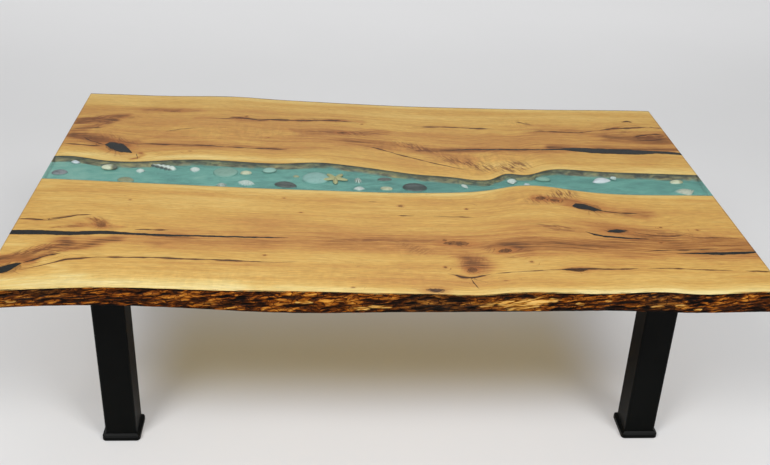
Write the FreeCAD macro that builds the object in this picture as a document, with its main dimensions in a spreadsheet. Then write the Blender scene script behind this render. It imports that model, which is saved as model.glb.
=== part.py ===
import FreeCAD, Part
import math
import os

import Sketcher
from FreeCAD import Vector

# Live edge river table.
#
# Two thick planks cut from one log lie side by side with their live banks facing each other. The
# gap between the banks is cast in resin in two pours: an opaque lower pour, then a clear one that
# ends level with the wood. Stones and shells were pressed into the lower pour, most of them half
# way, so each leaves a dent in both. Knots and shakes of the planks are filled with dark resin,
# flush with the top. Four square steel posts, each with a welded top plate and foot plate, are
# bolted from below into threaded inserts.
#
# Millimetres. The origin is on the floor under the middle of the top. +X runs along the table,
# +Y towards the rear plank, +Z up.

# ---------------------------------------------------------------- driving sizes

SIZES = (
    ("table_length", 1420, "end to end"),
    ("table_width", 960, "live edge to live edge at the widest"),
    ("table_height", 450, "floor to the top face"),
    ("slab_thickness", 40, "planks and river alike"),
    ("bark_bulge", 4, "how far the bark stands out half way down"),
    ("river_width", 110, "gap that the two banks wander about"),
    ("river_reach", 60, "furthest that a bank wanders outward, with room to spare"),
    ("rear_bank_slope", 28, "how far the rear bank runs in under the river"),
    ("front_bank_slope", 6, "how far the front bank runs in under the river"),
    ("clear_depth", 10, "thickness of the clear second pour"),
    ("clear_cover", 1, "least clear resin over a stone"),
    ("fill_depth", 10, "depth of the dark resin fills"),
    ("left_leg_inset", 179, "table end to the middle of the left legs"),
    ("right_leg_inset", 160, "table end to the middle of the right legs"),
    ("front_leg_inset", 191, "front line to the middle of the front legs"),
    ("rear_leg_inset", 191, "rear line to the middle of the rear legs"),
    ("tube_side", 63.5, "outside of the square tube"),
    ("tube_wall", 3, "wall of the square tube"),
    ("tube_corner", 5, "outer corner radius of the tube"),
    ("top_plate_side", 150, "square plate under the plank"),
    ("top_plate_thickness", 6, "plate under the plank"),
    ("top_plate_corner", 12, "clipped corners of the top plate"),
    ("bolt_spacing", 110, "between bolts, both ways"),
    ("slot_travel", 6, "room for the wood to move, across the grain"),
    ("foot_plate_side", 76, "square plate at the floor"),
    ("foot_plate_thickness", 9.5, "plate at the floor"),
    ("foot_plate_corner", 8, "corner radius of the foot plate"),
    ("plate_edge", 1.2, "broken top edge of the foot plate"),
    ("weld_leg", 4, "leg length of the fillet welds"),
    ("felt_thickness", 2, "pad under the foot plate"),
    ("felt_margin", 4, "pad edge in from the plate edge"),
    ("bolt_diameter", 8, "shank"),
    ("bolt_length", 25, "shank, under the head"),
    ("bolt_head_flats", 13, "across the flats of the hexagon"),
    ("bolt_head_height", 5.3, "hexagon head"),
    ("bolt_clearance", 0.2, "round the shank in the washer and the insert"),
    ("washer_diameter", 22, "wide washer that covers the slot"),
    ("washer_thickness", 1.6, "washer"),
    ("insert_diameter", 12, "threaded insert, pressed in the wood"),
    ("insert_length", 20, "threaded insert"),
)

# ---------------------------------------------------------------- hand-set outlines

# Live edges. Each row: share of the length from the left end, then how far the edge lies in from
# the table's front or rear line at the top face and at the underside.
FRONT_EDGE = (
    (0.000, 9, 15),
    (0.077, 19, 26),
    (0.141, 24, 28),
    (0.218, 21, 23),
    (0.289, 15, 14),
    (0.359, 12, 6),
    (0.423, 9, 5),
    (0.500, 5, 8),
    (0.563, 3, 9),
    (0.613, 1, 10),
    (0.644, 8, 11),
    (0.711, 11, 13),
    (0.782, 10, 15),
    (0.843, 16, 11),
    (0.884, 9, 9),
    (0.937, 13, 11),
    (1.000, 14, 13),
)
REAR_EDGE = (
    (0.000, 0, 9),
    (0.077, 5, 11),
    (0.148, 9, 15),
    (0.257, 7, 16),
    (0.321, 21, 24),
    (0.410, 36, 42),
    (0.500, 49, 50),
    (0.579, 57, 64),
    (0.685, 61, 70),
    (0.810, 64, 68),
    (0.911, 61, 66),
    (1.000, 62, 72),
)

# River banks. Each row: share of the length, then how far the bank's top edge lies behind (+) or
# before (-) the line that is half the river's width from the middle of the table.
REAR_BANK = (
    (0.000, 37),
    (0.030, 37),
    (0.070, 20),
    (0.125, 12),
    (0.175, 22),
    (0.215, 27),
    (0.285, 19),
    (0.355, 12),
    (0.405, 19),
    (0.445, 9),
    (0.500, -13),
    (0.560, -38),
    (0.615, -51),
    (0.670, -58),
    (0.700, -28),
    (0.722, -34),
    (0.762, -8),
    (0.830, -9),
    (0.885, -16),
    (0.945, -20),
    (1.000, -24),
)
FRONT_BANK = (
    (0.000, 32),
    (0.055, 27),
    (0.125, 18),
    (0.215, 8),
    (0.335, -6),
    (0.430, -13),
    (0.510, -19),
    (0.590, -17),
    (0.640, -10),
    (0.672, 3),
    (0.702, 19),
    (0.752, 19),
    (0.792, 1),
    (0.850, -15),
    (0.920, -18),
    (1.000, -18),
)

# Share of the slab's depth, and share of a bank's whole slope that it has run in by there.
BANK_PROFILE = (
    (0.0, 0.0),
    (0.5, 0.75),
    (1.0, 1.0),
)

# Dark resin fills. Each row of a fill: share of the length, distance in from the plank's own live
# edge line, and half the width there. A first or last row without width is a pointed end; one with
# width is where the shake runs out through the end of the plank. Wood splits in straight runs, so
# straight lines join the rows.
FRONT_FILLS = {
    "fill_front_long_shake": (
        (0.000, 221, 9),
        (0.041, 221, 8.5),
        (0.080, 217, 7.5),
        (0.119, 223, 6.5),
        (0.149, 219, 4.5),
        (0.205, 212, 3.5),
        (0.250, 211, 3),
        (0.302, 208, 2.5),
        (0.348, 207, 2),
        (0.368, 207, 0),
    ),
    "fill_front_corner_knot": (
        (0.000, 78, 9),
        (0.014, 81, 12),
        (0.022, 86, 13),
        (0.027, 93, 11),
        (0.030, 98, 8),
        (0.036, 105, 0),
    ),
    "fill_front_branch_knot": (
        (0.776, 352, 0),
        (0.783, 354, 12),
        (0.797, 348, 14),
        (0.806, 339, 10),
        (0.813, 335, 4),
        (0.824, 326, 0),
    ),
    "fill_front_short_shake": (
        (0.808, 241, 0),
        (0.814, 243, 5),
        (0.824, 244, 8),
        (0.832, 245, 4),
        (0.839, 246, 0),
    ),
    "fill_front_curved_shake": (
        (0.778, 241, 0),
        (0.788, 230, 3.5),
        (0.801, 222, 3.5),
        (0.828, 216, 3),
        (0.850, 213, 0),
    ),
    "fill_front_low_shake": (
        (0.722, 92, 0),
        (0.735, 92, 3.5),
        (0.744, 91, 6),
        (0.750, 91, 4),
        (0.758, 92, 0),
    ),
    "fill_front_right_shake": (
        (0.888, 156, 0),
        (0.913, 156, 2.5),
        (0.949, 156, 5),
        (0.968, 158, 5),
        (0.988, 161, 4),
        (1.000, 163, 3),
    ),
    "fill_front_edge_notch": (
        (0.544, 21, 0),
        (0.550, 18, 4.5),
        (0.554, 17, 5.5),
        (0.558, 18, 5),
        (0.564, 20, 0),
    ),
}
REAR_FILLS = {
    "fill_rear_knot": (
        (0.067, 323, 0),
        (0.073, 322, 12),
        (0.079, 328, 18),
        (0.087, 334, 21),
        (0.096, 342, 22),
        (0.103, 348, 13),
        (0.111, 359, 6),
        (0.116, 367, 0),
    ),
    "fill_rear_long_shake": (
        (0.602, 331, 0),
        (0.640, 325, 2),
        (0.690, 322, 2.5),
        (0.767, 320, 2.5),
        (0.806, 315, 5),
        (0.821, 316, 10),
        (0.837, 318, 12),
        (0.852, 322, 14),
        (0.898, 325, 14),
        (0.915, 326, 15),
        (0.927, 328, 13),
        (0.942, 327, 10),
        (0.957, 326, 7.5),
        (0.979, 328, 7),
        (1.000, 334, 6),
    ),
}

# Stones and shells. Each row: share of the length, share of the way from the front bank to the
# rear bank, length, depth, height, turn about the vertical in degrees, and how far the middle lies
# above the face between the pours.
RIVER_STONES = {
    "dark_pebbles": (
        (0.018, 0.45, 38, 24, 14, 8, 0),
        (0.358, 0.29, 50, 28, 16, -12, 0),
        (0.507, 0.78, 34, 15, 12, 4, 0),
        (0.552, 0.49, 54, 38, 18, -6, 0),
    ),
    "pale_pebbles": (
        (0.089, 0.86, 38, 21, 10, 0, 4),
        (0.120, 0.27, 37, 24, 13, -8, 0),
        (0.296, 0.74, 27, 16, 13, 6, 0),
        (0.373, 0.66, 15, 10, 8, 0, 0),
        (0.509, 0.34, 30, 16, 11, -5, 0),
        (0.963, 0.86, 35, 17, 12, 6, 0),
    ),
    "clam_shells": (
        (0.136, 0.78, 21, 21, 12, 15, 0),
        (0.218, 0.80, 26, 24, 12, -25, 0),
        (0.263, 0.19, 27, 18, 12, 0, 0),
        (0.299, 0.32, 40, 26, 12, 15, 0),
        (0.467, 0.62, 18, 30, 12, 8, 0),
        (0.468, 0.27, 26, 19, 12, -15, 0),
        (0.628, 0.74, 22, 11, 8, 15, 1),
        (0.703, 0.74, 22, 24, 12, -10, 2),
    ),
    "flat_shells": (
        (0.265, 0.75, 54, 52, 8, 0, 0),
        (0.403, 0.60, 60, 60, 9, 0, 0),
    ),
    "sea_glass": (
        (0.332, 0.87, 34, 24, 10, 12, 3),
        (0.753, 0.74, 34, 21, 9, -6, 3),
    ),
    "quartz_chips": (
        (0.034, 0.95, 19, 9, 7, 0, 3),
        (0.725, 0.52, 16, 9, 8, 10, 0),
        (0.844, 0.80, 40, 28, 15, 20, 0),
        (0.865, 0.92, 16, 11, 8, 0, 3),
    ),
}

# How many flats each kind is ground to, and how wide its top and bottom are as a share of its girth.
PEBBLE_SIDES = 8
DISC_SIDES = 18
CHIP_SIDES = 6
PEBBLE_CAP_SHARE = 0.55
CLAM_CAP_SHARE = 0.4
DISC_CAP_SHARE = 0.85
GLASS_CAP_SHARE = 0.7
CHIP_CAP_SHARE = 0.45
STONE_FORMS = {
    "dark_pebbles": (PEBBLE_SIDES, PEBBLE_CAP_SHARE),
    "pale_pebbles": (PEBBLE_SIDES, PEBBLE_CAP_SHARE),
    "clam_shells": (PEBBLE_SIDES, CLAM_CAP_SHARE),
    "flat_shells": (DISC_SIDES, DISC_CAP_SHARE),
    "sea_glass": (CHIP_SIDES, GLASS_CAP_SHARE),
    "quartz_chips": (CHIP_SIDES, CHIP_CAP_SHARE),
}

# Share of the length, share of the way across, and turn.
SPIRAL_SHELL = (0.163, 0.83, 172)
STARFISH = (0.4425, 0.60, 36)
SCALLOP = (0.968, 0.36, 12)

SPIRAL_LENGTH = 78
SPIRAL_RADIUS = 12
SPIRAL_WHORLS = 6
SPIRAL_CANAL = 22
SPIRAL_TIP_RADIUS = 1.5
SPIRAL_APEX_RADIUS = 0.5
SPIRAL_SUTURE_SHARE = 0.82
SPIRAL_CROWDING = 1.2
SPIRAL_SIDES = 8
STARFISH_ARMS = 5
STARFISH_RADIUS = 25
STARFISH_WAIST = 10
STARFISH_HEIGHT = 5
STARFISH_CREST_SHARE = 0.3
SCALLOP_RADIUS = 36
SCALLOP_HEIGHT = 10
SCALLOP_HALF_ANGLE = 46
SCALLOP_HINGE = 10
SCALLOP_RIBS = 5
SCALLOP_RIM_DEPTH = 2
SCALLOP_FLOOR_SHARE = 0.8
SCALLOP_CREST_SHARE = 0.5

# Corners and levels closer together than this are one.
SAME_PLACE = 1e-6

# Sides that the small fasteners' round parts are ground to.
FASTENER_SIDES = 10

# Half the side that a square is first drawn at, before its constraints are bound to the sheet.
DRAFT_HALF_SIDE = 10.0

# Leg positions: which side of the middle each leg stands on, along X and along Y.
LEGS = (
    ("front_left", "left", "front"),
    ("front_right", "right", "front"),
    ("rear_left", "left", "rear"),
    ("rear_right", "right", "rear"),
)

# ---------------------------------------------------------------- document and sheet

doc = FreeCAD.newDocument("river_table")
sheet = doc.addObject("Spreadsheet::Sheet", "sizes")
for row_number, (alias, value, note) in enumerate(SIZES, start=1):
    sheet.set("A%d" % row_number, alias)
    sheet.set("B%d" % row_number, str(value))
    sheet.set("C%d" % row_number, note)
    sheet.setAlias("B%d" % row_number, alias)
doc.recompute()

# Heights and places that several pieces share, as expressions on the sheet.
UNDERSIDE = "(sizes.table_height - sizes.slab_thickness)"
PLATE_UNDERSIDE = "(%s - sizes.top_plate_thickness)" % UNDERSIDE
FOOT_TOP = "(sizes.felt_thickness + sizes.foot_plate_thickness)"
TUBE_LENGTH = "(%s - %s)" % (PLATE_UNDERSIDE, FOOT_TOP)
INTERFACE = "(sizes.table_height - sizes.clear_depth)"
LEG_X = {
    "left": "sizes.left_leg_inset - sizes.table_length / 2",
    "right": "sizes.table_length / 2 - sizes.right_leg_inset",
}
LEG_Y = {
    "front": "sizes.front_leg_inset - sizes.table_width / 2",
    "rear": "sizes.table_width / 2 - sizes.rear_leg_inset",
}

subparts = []


def size(alias):
    """Value of one driving size."""
    return float(sheet.get(alias))


def finish(obj, label):
    """Name a finished sub-part and put it on the list of pieces to write."""
    obj.Label = label
    subparts.append(obj)
    return obj


def place(obj, x="0", y="0", z="0"):
    """Bind an object's position to expressions on the sheet."""
    obj.setExpression(".Placement.Base.x", x)
    obj.setExpression(".Placement.Base.y", y)
    obj.setExpression(".Placement.Base.z", z)
    return obj


# ---------------------------------------------------------------- PartDesign helpers


def new_body(name):
    return doc.addObject("PartDesign::Body", name)


def new_sketch(body, name, role="XY_Plane"):
    """An empty sketch on one of the body's own origin planes."""
    plane = next(item for item in body.Origin.OriginFeatures if item.Role == role)
    sketch = body.newObject("Sketcher::SketchObject", name)
    sketch.AttachmentSupport = [(plane, "")]
    sketch.MapMode = "FlatFace"
    return sketch


def bind_last(sketch, constraint, expression):
    """Add a constraint and bind its value to the sheet."""
    index = sketch.addConstraint(constraint)
    sketch.setExpression("Constraints[%d]" % index, expression)


def draw_polygon(sketch, points):
    """Closed chain of lines through the points, joined end to end."""
    first = sketch.GeometryCount
    for index, start in enumerate(points):
        end = points[(index + 1) % len(points)]
        sketch.addGeometry(Part.LineSegment(start, end), False)
    for index in range(len(points)):
        following = first + (index + 1) % len(points)
        sketch.addConstraint(Sketcher.Constraint("Coincident", first + index, 2, following, 1))
    return first


def draw_square(sketch, side):
    """Square about the sketch's origin, its side bound to an expression."""
    half = DRAFT_HALF_SIDE
    corners = [(-half, -half), (half, -half), (half, half), (-half, half)]
    first = draw_polygon(sketch, [Vector(x, y, 0) for x, y in corners])
    for index in (0, 2):
        sketch.addConstraint(Sketcher.Constraint("Horizontal", first + index))
    for index in (1, 3):
        sketch.addConstraint(Sketcher.Constraint("Vertical", first + index))
    sketch.addConstraint(Sketcher.Constraint("Symmetric", first, 1, first + 1, 2, -1, 1))
    bind_last(sketch, Sketcher.Constraint("DistanceX", first, 1, first, 2, 2 * half), side)
    bind_last(sketch, Sketcher.Constraint("DistanceY", first + 1, 1, first + 1, 2, 2 * half), side)


def oval(sides, half_length, half_depth, height):
    """Corners of a polygon inscribed in an ellipse, level at a height."""
    corners = []
    for number in range(sides):
        angle = 2 * math.pi * number / sides
        corners.append(Vector(half_length * math.cos(angle), half_depth * math.sin(angle), height))
    return corners


def draw_regular(sketch, sides, flats_radius):
    """Regular polygon about the origin, its sides tangent to a circle of the given radius.

    It is drawn at its own size, since other polygons could meet the same constraints.
    """
    radius = float(sketch.evalExpression(flats_radius))
    circle = sketch.addGeometry(Part.Circle(Vector(0, 0, 0), Vector(0, 0, 1), radius), True)
    sketch.addConstraint(Sketcher.Constraint("Coincident", circle, 3, -1, 1))
    half_turn = math.pi / sides
    corner_radius = radius / math.cos(half_turn)
    corners = oval(sides, corner_radius, corner_radius, 0)
    turned = FreeCAD.Rotation(Vector(0, 0, 1), math.degrees(half_turn))
    first = draw_polygon(sketch, [turned.multVec(corner) for corner in corners])
    for number in range(sides):
        sketch.addConstraint(Sketcher.Constraint("Tangent", first + number, circle))
    for number in range(1, sides - 1):
        sketch.addConstraint(Sketcher.Constraint("Equal", first, first + number))
    sketch.addConstraint(Sketcher.Constraint("Vertical", first + sides - 1))
    bind_last(sketch, Sketcher.Constraint("Radius", circle, radius), flats_radius)


def pad(body, sketch, length, reverse=False):
    feature = body.newObject("PartDesign::Pad", sketch.Name + "_pad")
    feature.Profile = sketch
    feature.Reversed = reverse
    feature.setExpression("Length", length)
    sketch.Visibility = False
    return feature


def pocket(body, sketch, length, reverse=False):
    feature = body.newObject("PartDesign::Pocket", sketch.Name + "_pocket")
    feature.Profile = sketch
    feature.Reversed = reverse
    feature.setExpression("Length", length)
    return feature


def upright_edges(shape):
    """Names of the straight edges that run along Z."""
    names = []
    for number, edge in enumerate(shape.Edges, start=1):
        start, end = edge.firstVertex().Point, edge.lastVertex().Point
        if math.hypot(start.x - end.x, start.y - end.y) < SAME_PLACE:
            names.append("Edge%d" % number)
    return names


def level_edges(shape, height):
    """Names of the edges that lie wholly at one height."""
    names = []
    for number, edge in enumerate(shape.Edges, start=1):
        box = edge.BoundBox
        if abs(box.ZMin - height) < SAME_PLACE and abs(box.ZMax - height) < SAME_PLACE:
            names.append("Edge%d" % number)
    return names


def square_block(name, side, thickness, corner, treatment="Fillet", amount="Radius"):
    """Body with a square plate on the XY plane, its upright corners rounded or clipped."""
    body = new_body(name)
    sketch = new_sketch(body, name + "_outline")
    draw_square(sketch, side)
    block = pad(body, sketch, thickness)
    doc.recompute()
    corners = body.newObject("PartDesign::" + treatment, name + "_corners")
    corners.Base = (block, upright_edges(block.Shape))
    corners.setExpression(amount, corner)
    return body, corners


def many_sided_post(name, radius, height):
    """Small round post, ground to flats."""
    body = new_body(name)
    sketch = new_sketch(body, name + "_section")
    draw_regular(sketch, FASTENER_SIDES, radius)
    pad(body, sketch, height)
    return body


# ---------------------------------------------------------------- Part helpers


def bound_box(name, length, width, height):
    """Box with its sides bound to expressions, one corner at its own origin."""
    box = doc.addObject("Part::Box", name)
    box.setExpression("Length", length)
    box.setExpression("Width", width)
    box.setExpression("Height", height)
    return box


def compound(name, members):
    group = doc.addObject("Part::Compound", name)
    group.Links = members
    return group


def cut(name, base, tool):
    result = doc.addObject("Part::Cut", name)
    result.Base = base
    result.Tool = tool
    return result


def mirrored(obj, normal):
    copy = doc.addObject("Part::Mirroring", obj.Name + "_mirrored")
    copy.Source = obj
    copy.Normal = normal
    return copy


def four_of(obj, name):
    """The object and its mirror images about X and Y: one at each corner of a rectangle."""
    pair = compound(name + "_pair", [obj, mirrored(obj, Vector(1, 0, 0))])
    return compound(name, [pair, mirrored(pair, Vector(0, 1, 0))])


def solid_feature(name, shape):
    """Document object that holds a freeform solid."""
    feature = doc.addObject("Part::Feature", name)
    feature.Shape = shape
    return feature


def stacked_solid(name, outlines):
    """Solid with flat sides through closed polygons that are scaled copies of one another."""
    faces = [Part.Face(Part.makePolygon(ends + ends[:1])) for ends in (outlines[0], outlines[-1])]
    for low, high in zip(outlines, outlines[1:]):
        for number in range(len(low)):
            following = (number + 1) % len(low)
            corners = [low[number], low[following], high[following], high[number], low[number]]
            faces.append(Part.Face(Part.makePolygon(corners)))
    solid = Part.makeSolid(Part.makeShell(faces))
    solid.fix(SAME_PLACE, SAME_PLACE, SAME_PLACE)
    return solid_feature(name, solid)


# ---------------------------------------------------------------- planks


def spline(points):
    curve = Part.BSplineCurve()
    curve.interpolate(points)
    return curve.toShape()


def along(share):
    """X of a point that is given as a share of the length from the left end."""
    return (share - 0.5) * size("table_length")


def section(edge_points, bank_points, height):
    """One level outline of a plank, from (x, y) pairs that run from left to right."""
    edge = [Vector(x, y, height) for x, y in edge_points]
    bank = [Vector(x, y, height) for x, y in bank_points]
    left_end = Part.makeLine(bank[0], edge[0])
    right_end = Part.makeLine(edge[-1], bank[-1])
    return Part.Wire([left_end, spline(edge), right_end, spline(bank[::-1])])


def on_table(table, share, column=1):
    """Value of one column of a table at a share, on straight runs between its rows."""
    for left, right in zip(table, table[1:]):
        if left[0] <= share <= right[0]:
            part = (share - left[0]) / (right[0] - left[0])
            return left[column] + (right[column] - left[column]) * part
    raise ValueError("share %s lies outside the table" % share)


def bank_shift(side, bank_slope, depth_share):
    """How far a bank lies from the middle of the table at a depth, before its own wandering."""
    run_in = on_table(BANK_PROFILE, depth_share) * bank_slope
    return side * (size("river_width") / 2 - run_in)


def plank_shape(edge_table, bank_table, side, bank_slope):
    """Ruled loft through the outlines at the underside, half way up and at the top face.

    side is -1 for the front plank and +1 for the rear one. The live edge runs straight from its
    top line to its bottom line, but for the bark, which stands out by bark_bulge half way up.
    """
    line = side * size("table_width") / 2
    wires = []
    for depth_share, bulge_share in ((1.0, 0.0), (0.5, 1.0), (0.0, 0.0)):
        height = size("table_height") - depth_share * size("slab_thickness")
        bulge = bulge_share * size("bark_bulge")
        edge = []
        for share, high, low in edge_table:
            inset = max(high + (low - high) * depth_share - bulge, 0)
            edge.append((along(share), line - side * inset))
        shift = bank_shift(side, bank_slope, depth_share)
        bank = [(along(share), offset + shift) for share, offset in bank_table]
        wires.append(section(edge, bank, height))
    return Part.makeLoft(wires, True, True)


front_blank = solid_feature(
    "front_plank_blank", plank_shape(FRONT_EDGE, FRONT_BANK, -1, size("front_bank_slope"))
)
rear_blank = solid_feature(
    "rear_plank_blank", plank_shape(REAR_EDGE, REAR_BANK, 1, size("rear_bank_slope"))
)


def resin_fill(label, rows, side):
    """Dark resin in a knot or shake: a pad downwards from the top face."""
    line = side * size("table_width") / 2
    there = [Vector(along(share), line - side * inset + half, 0) for share, inset, half in rows]
    wide = [row for row in rows if row[2] > 0]
    back = [Vector(along(share), line - side * inset - half, 0) for share, inset, half in wide]
    body = new_body(label)
    sketch = new_sketch(body, label + "_outline")
    draw_polygon(sketch, there + back[::-1])
    pad(body, sketch, "sizes.fill_depth", reverse=True)
    place(body, z="sizes.table_height")
    return finish(body, label)


front_fills = [resin_fill(label, rows, -1) for label, rows in FRONT_FILLS.items()]
rear_fills = [resin_fill(label, rows, 1) for label, rows in REAR_FILLS.items()]


def insert_holes(name, leg_x, leg_y):
    """Four blind holes for the threaded inserts of one leg."""
    hole = many_sided_post(name + "_hole", "sizes.insert_diameter / 2", "sizes.insert_length")
    place(hole, "sizes.bolt_spacing / 2", "sizes.bolt_spacing / 2")
    return place(four_of(hole, name), leg_x, leg_y, UNDERSIDE)


plank_holes = {"front": [], "rear": []}
for leg, side_x, side_y in LEGS:
    plank_holes[side_y].append(insert_holes("holes_" + leg, LEG_X[side_x], LEG_Y[side_y]))

front_cuts = compound("front_plank_cuts", front_fills + plank_holes["front"])
rear_cuts = compound("rear_plank_cuts", rear_fills + plank_holes["rear"])
finish(cut("front_plank_cut", front_blank, front_cuts), "front_plank")
finish(cut("rear_plank_cut", rear_blank, rear_cuts), "rear_plank")

# ---------------------------------------------------------------- river contents


def river_placement(share, across, turn, rise, lift=0):
    """Place a share of the way from the front bank to the rear bank, near the face between pours.

    rise is how far the piece stands above its own middle: a tall one is pressed in deeper. lift is
    how far its middle lies above the face between the pours.
    """
    depth_share = size("clear_depth") / size("slab_thickness")
    front = on_table(FRONT_BANK, share) + bank_shift(-1, size("front_bank_slope"), depth_share)
    rear = on_table(REAR_BANK, share) + bank_shift(1, size("rear_bank_slope"), depth_share)
    height = size("table_height") - max(size("clear_depth") - lift, size("clear_cover") + rise)
    turned = FreeCAD.Rotation(Vector(0, 0, 1), turn)
    return FreeCAD.Placement(Vector(along(share), front + across * (rear - front), height), turned)


def stone(name, row, sides, cap):
    """Stone or shell: widest half way up, smaller at its top and bottom."""
    share, across, length, depth, height, turn, lift = row
    levels = ((-0.5, cap), (0, 1), (0.5, cap))
    outlines = [oval(sides, k * length / 2, k * depth / 2, z * height) for z, k in levels]
    solid = stacked_solid(name, outlines)
    solid.Placement = river_placement(share, across, turn, height / 2, lift)
    return solid


river_pieces = []
for label, rows in RIVER_STONES.items():
    sides, cap = STONE_FORMS[label]
    stones = [stone("%s_%d" % (label, number), row, sides, cap) for number, row in enumerate(rows)]
    river_pieces.append(finish(compound(label + "_group", stones), label))


def spiral_shell(label):
    """Whelk lying on its side: whorls that swell and pinch in, and shrink in step to the apex.

    The canal tapers from the body whorl to the tip at the other end.
    """
    start = -SPIRAL_LENGTH / 2
    spire = SPIRAL_LENGTH - SPIRAL_CANAL
    stations = [(start, SPIRAL_TIP_RADIUS)]
    half_whorls = 2 * SPIRAL_WHORLS
    for half_whorl in range(half_whorls):
        gone = (2 * half_whorl + 1) / (2 * half_whorls)
        pinch = SPIRAL_SUTURE_SHARE if half_whorl % 2 else 1
        radius = SPIRAL_RADIUS * (1 - gone) * pinch
        stations.append((start + SPIRAL_CANAL + spire * (1 - (1 - gone) ** SPIRAL_CROWDING), radius))
    stations.append((SPIRAL_LENGTH / 2, SPIRAL_APEX_RADIUS))
    outlines = []
    for x, radius in stations:
        ring = oval(SPIRAL_SIDES, radius, radius, 0)
        outlines.append([Vector(x, point.x, point.y) for point in ring])
    shell = stacked_solid(label, outlines)
    shell.Placement = river_placement(*SPIRAL_SHELL, SPIRAL_RADIUS)
    return finish(shell, label)


def starfish(label):
    """Tapering arms with waists between them, lying on the lower pour, ridged at the top."""
    outlines = []
    for height, share in ((0, 1), (STARFISH_HEIGHT, STARFISH_CREST_SHARE)):
        points = []
        for number in range(2 * STARFISH_ARMS):
            radius = share * (STARFISH_WAIST if number % 2 else STARFISH_RADIUS)
            angle = math.pi * number / STARFISH_ARMS
            points.append(Vector(radius * math.cos(angle), radius * math.sin(angle), height))
        outlines.append(points)
    star = stacked_solid(label, outlines)
    star.Placement = river_placement(*STARFISH, STARFISH_HEIGHT)
    return finish(star, label)


def scallop(label):
    """Fan-shaped valve: a straight hinge, and a rim that swells at each rib, domed both ways."""
    half_angle = math.radians(SCALLOP_HALF_ANGLE)
    hinge_y = -SCALLOP_RADIUS / 2
    fan = [Vector(-SCALLOP_HINGE / 2, hinge_y, 0), Vector(SCALLOP_HINGE / 2, hinge_y, 0)]
    steps = 2 * SCALLOP_RIBS
    for number in range(steps + 1):
        angle = half_angle * (1 - 2 * number / steps)
        reach = SCALLOP_RADIUS - SCALLOP_RIM_DEPTH * ((number + 1) % 2)
        fan.append(Vector(reach * math.sin(angle), hinge_y + reach * math.cos(angle), 0))
    levels = (
        (-SCALLOP_HEIGHT / 2, SCALLOP_FLOOR_SHARE),
        (0, 1),
        (SCALLOP_HEIGHT / 2, SCALLOP_CREST_SHARE),
    )
    outlines = [[Vector(p.x * share, p.y * share, z) for p in fan] for z, share in levels]
    valve = stacked_solid(label, outlines)
    valve.Placement = river_placement(*SCALLOP, SCALLOP_HEIGHT / 2)
    return finish(valve, label)


river_pieces.append(spiral_shell("spiral_shell"))
river_pieces.append(starfish("starfish"))
river_pieces.append(scallop("scallop_shell"))

# ---------------------------------------------------------------- river

RIVER_BAND = "(sizes.river_width + 2 * sizes.river_reach)"


def pour(label, bottom, depth):
    """One pour of resin: a band of the slab, less the planks and what is set in it."""
    band = bound_box(label + "_band", "sizes.table_length", RIVER_BAND, depth)
    place(band, "-sizes.table_length / 2", "-%s / 2" % RIVER_BAND, bottom)
    between = cut(label + "_between_banks", band, compound(label + "_banks", [front_blank, rear_blank]))
    filled = cut(label + "_pour", between, compound(label + "_contents", river_pieces))
    return finish(filled, label)


pour("river_base_layer", UNDERSIDE, "sizes.slab_thickness - sizes.clear_depth")
pour("river_clear_layer", INTERFACE, "sizes.clear_depth")

# ---------------------------------------------------------------- legs


def leg_tube(label, leg_x, leg_y):
    """Square tube with rounded outer corners."""
    body, _ = square_block(label, "sizes.tube_side", TUBE_LENGTH, "sizes.tube_corner")
    bore = new_sketch(body, label + "_bore")
    draw_square(bore, "sizes.tube_side - 2 * sizes.tube_wall")
    pocket(body, bore, TUBE_LENGTH, reverse=True)
    place(body, leg_x, leg_y, FOOT_TOP)
    return finish(body, label)


def top_plate(label, leg_x, leg_y):
    """Square plate with four slots across the grain."""
    blank, _ = square_block(
        label + "_blank",
        "sizes.top_plate_side",
        "sizes.top_plate_thickness",
        "sizes.top_plate_corner",
        "Chamfer",
        "Size",
    )
    radius = "(sizes.bolt_diameter / 2 + sizes.bolt_clearance)"
    pieces = []
    for name, sign in (("rear", "+"), ("front", "-")):
        end = many_sided_post("%s_slot_%s" % (label, name), radius, "sizes.top_plate_thickness")
        y = "sizes.bolt_spacing / 2 %s sizes.slot_travel / 2" % sign
        pieces.append(place(end, "sizes.bolt_spacing / 2", y))
    middle = bound_box(
        label + "_slot_middle", "2 * " + radius, "sizes.slot_travel", "sizes.top_plate_thickness"
    )
    place(middle, "sizes.bolt_spacing / 2 - " + radius, "sizes.bolt_spacing / 2 - sizes.slot_travel / 2")
    slot = doc.addObject("Part::MultiFuse", label + "_slot")
    slot.Shapes = pieces + [middle]
    plate = cut(label + "_slotted", blank, four_of(slot, label + "_slots"))
    place(plate, leg_x, leg_y, PLATE_UNDERSIDE)
    return finish(plate, label)


def foot_plate(label, leg_x, leg_y):
    """Square plate with rounded corners and a broken top edge."""
    body, block = square_block(
        label, "sizes.foot_plate_side", "sizes.foot_plate_thickness", "sizes.foot_plate_corner"
    )
    doc.recompute()
    edge = body.newObject("PartDesign::Chamfer", label + "_edge")
    edge.Base = (block, level_edges(block.Shape, size("foot_plate_thickness")))
    edge.setExpression("Size", "sizes.plate_edge")
    place(body, leg_x, leg_y, "sizes.felt_thickness")
    return finish(body, label)


def felt_pad(label, leg_x, leg_y):
    body, _ = square_block(
        label,
        "sizes.foot_plate_side - 2 * sizes.felt_margin",
        "sizes.felt_thickness",
        "sizes.foot_plate_corner - sizes.felt_margin",
    )
    place(body, leg_x, leg_y)
    return finish(body, label)


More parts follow.
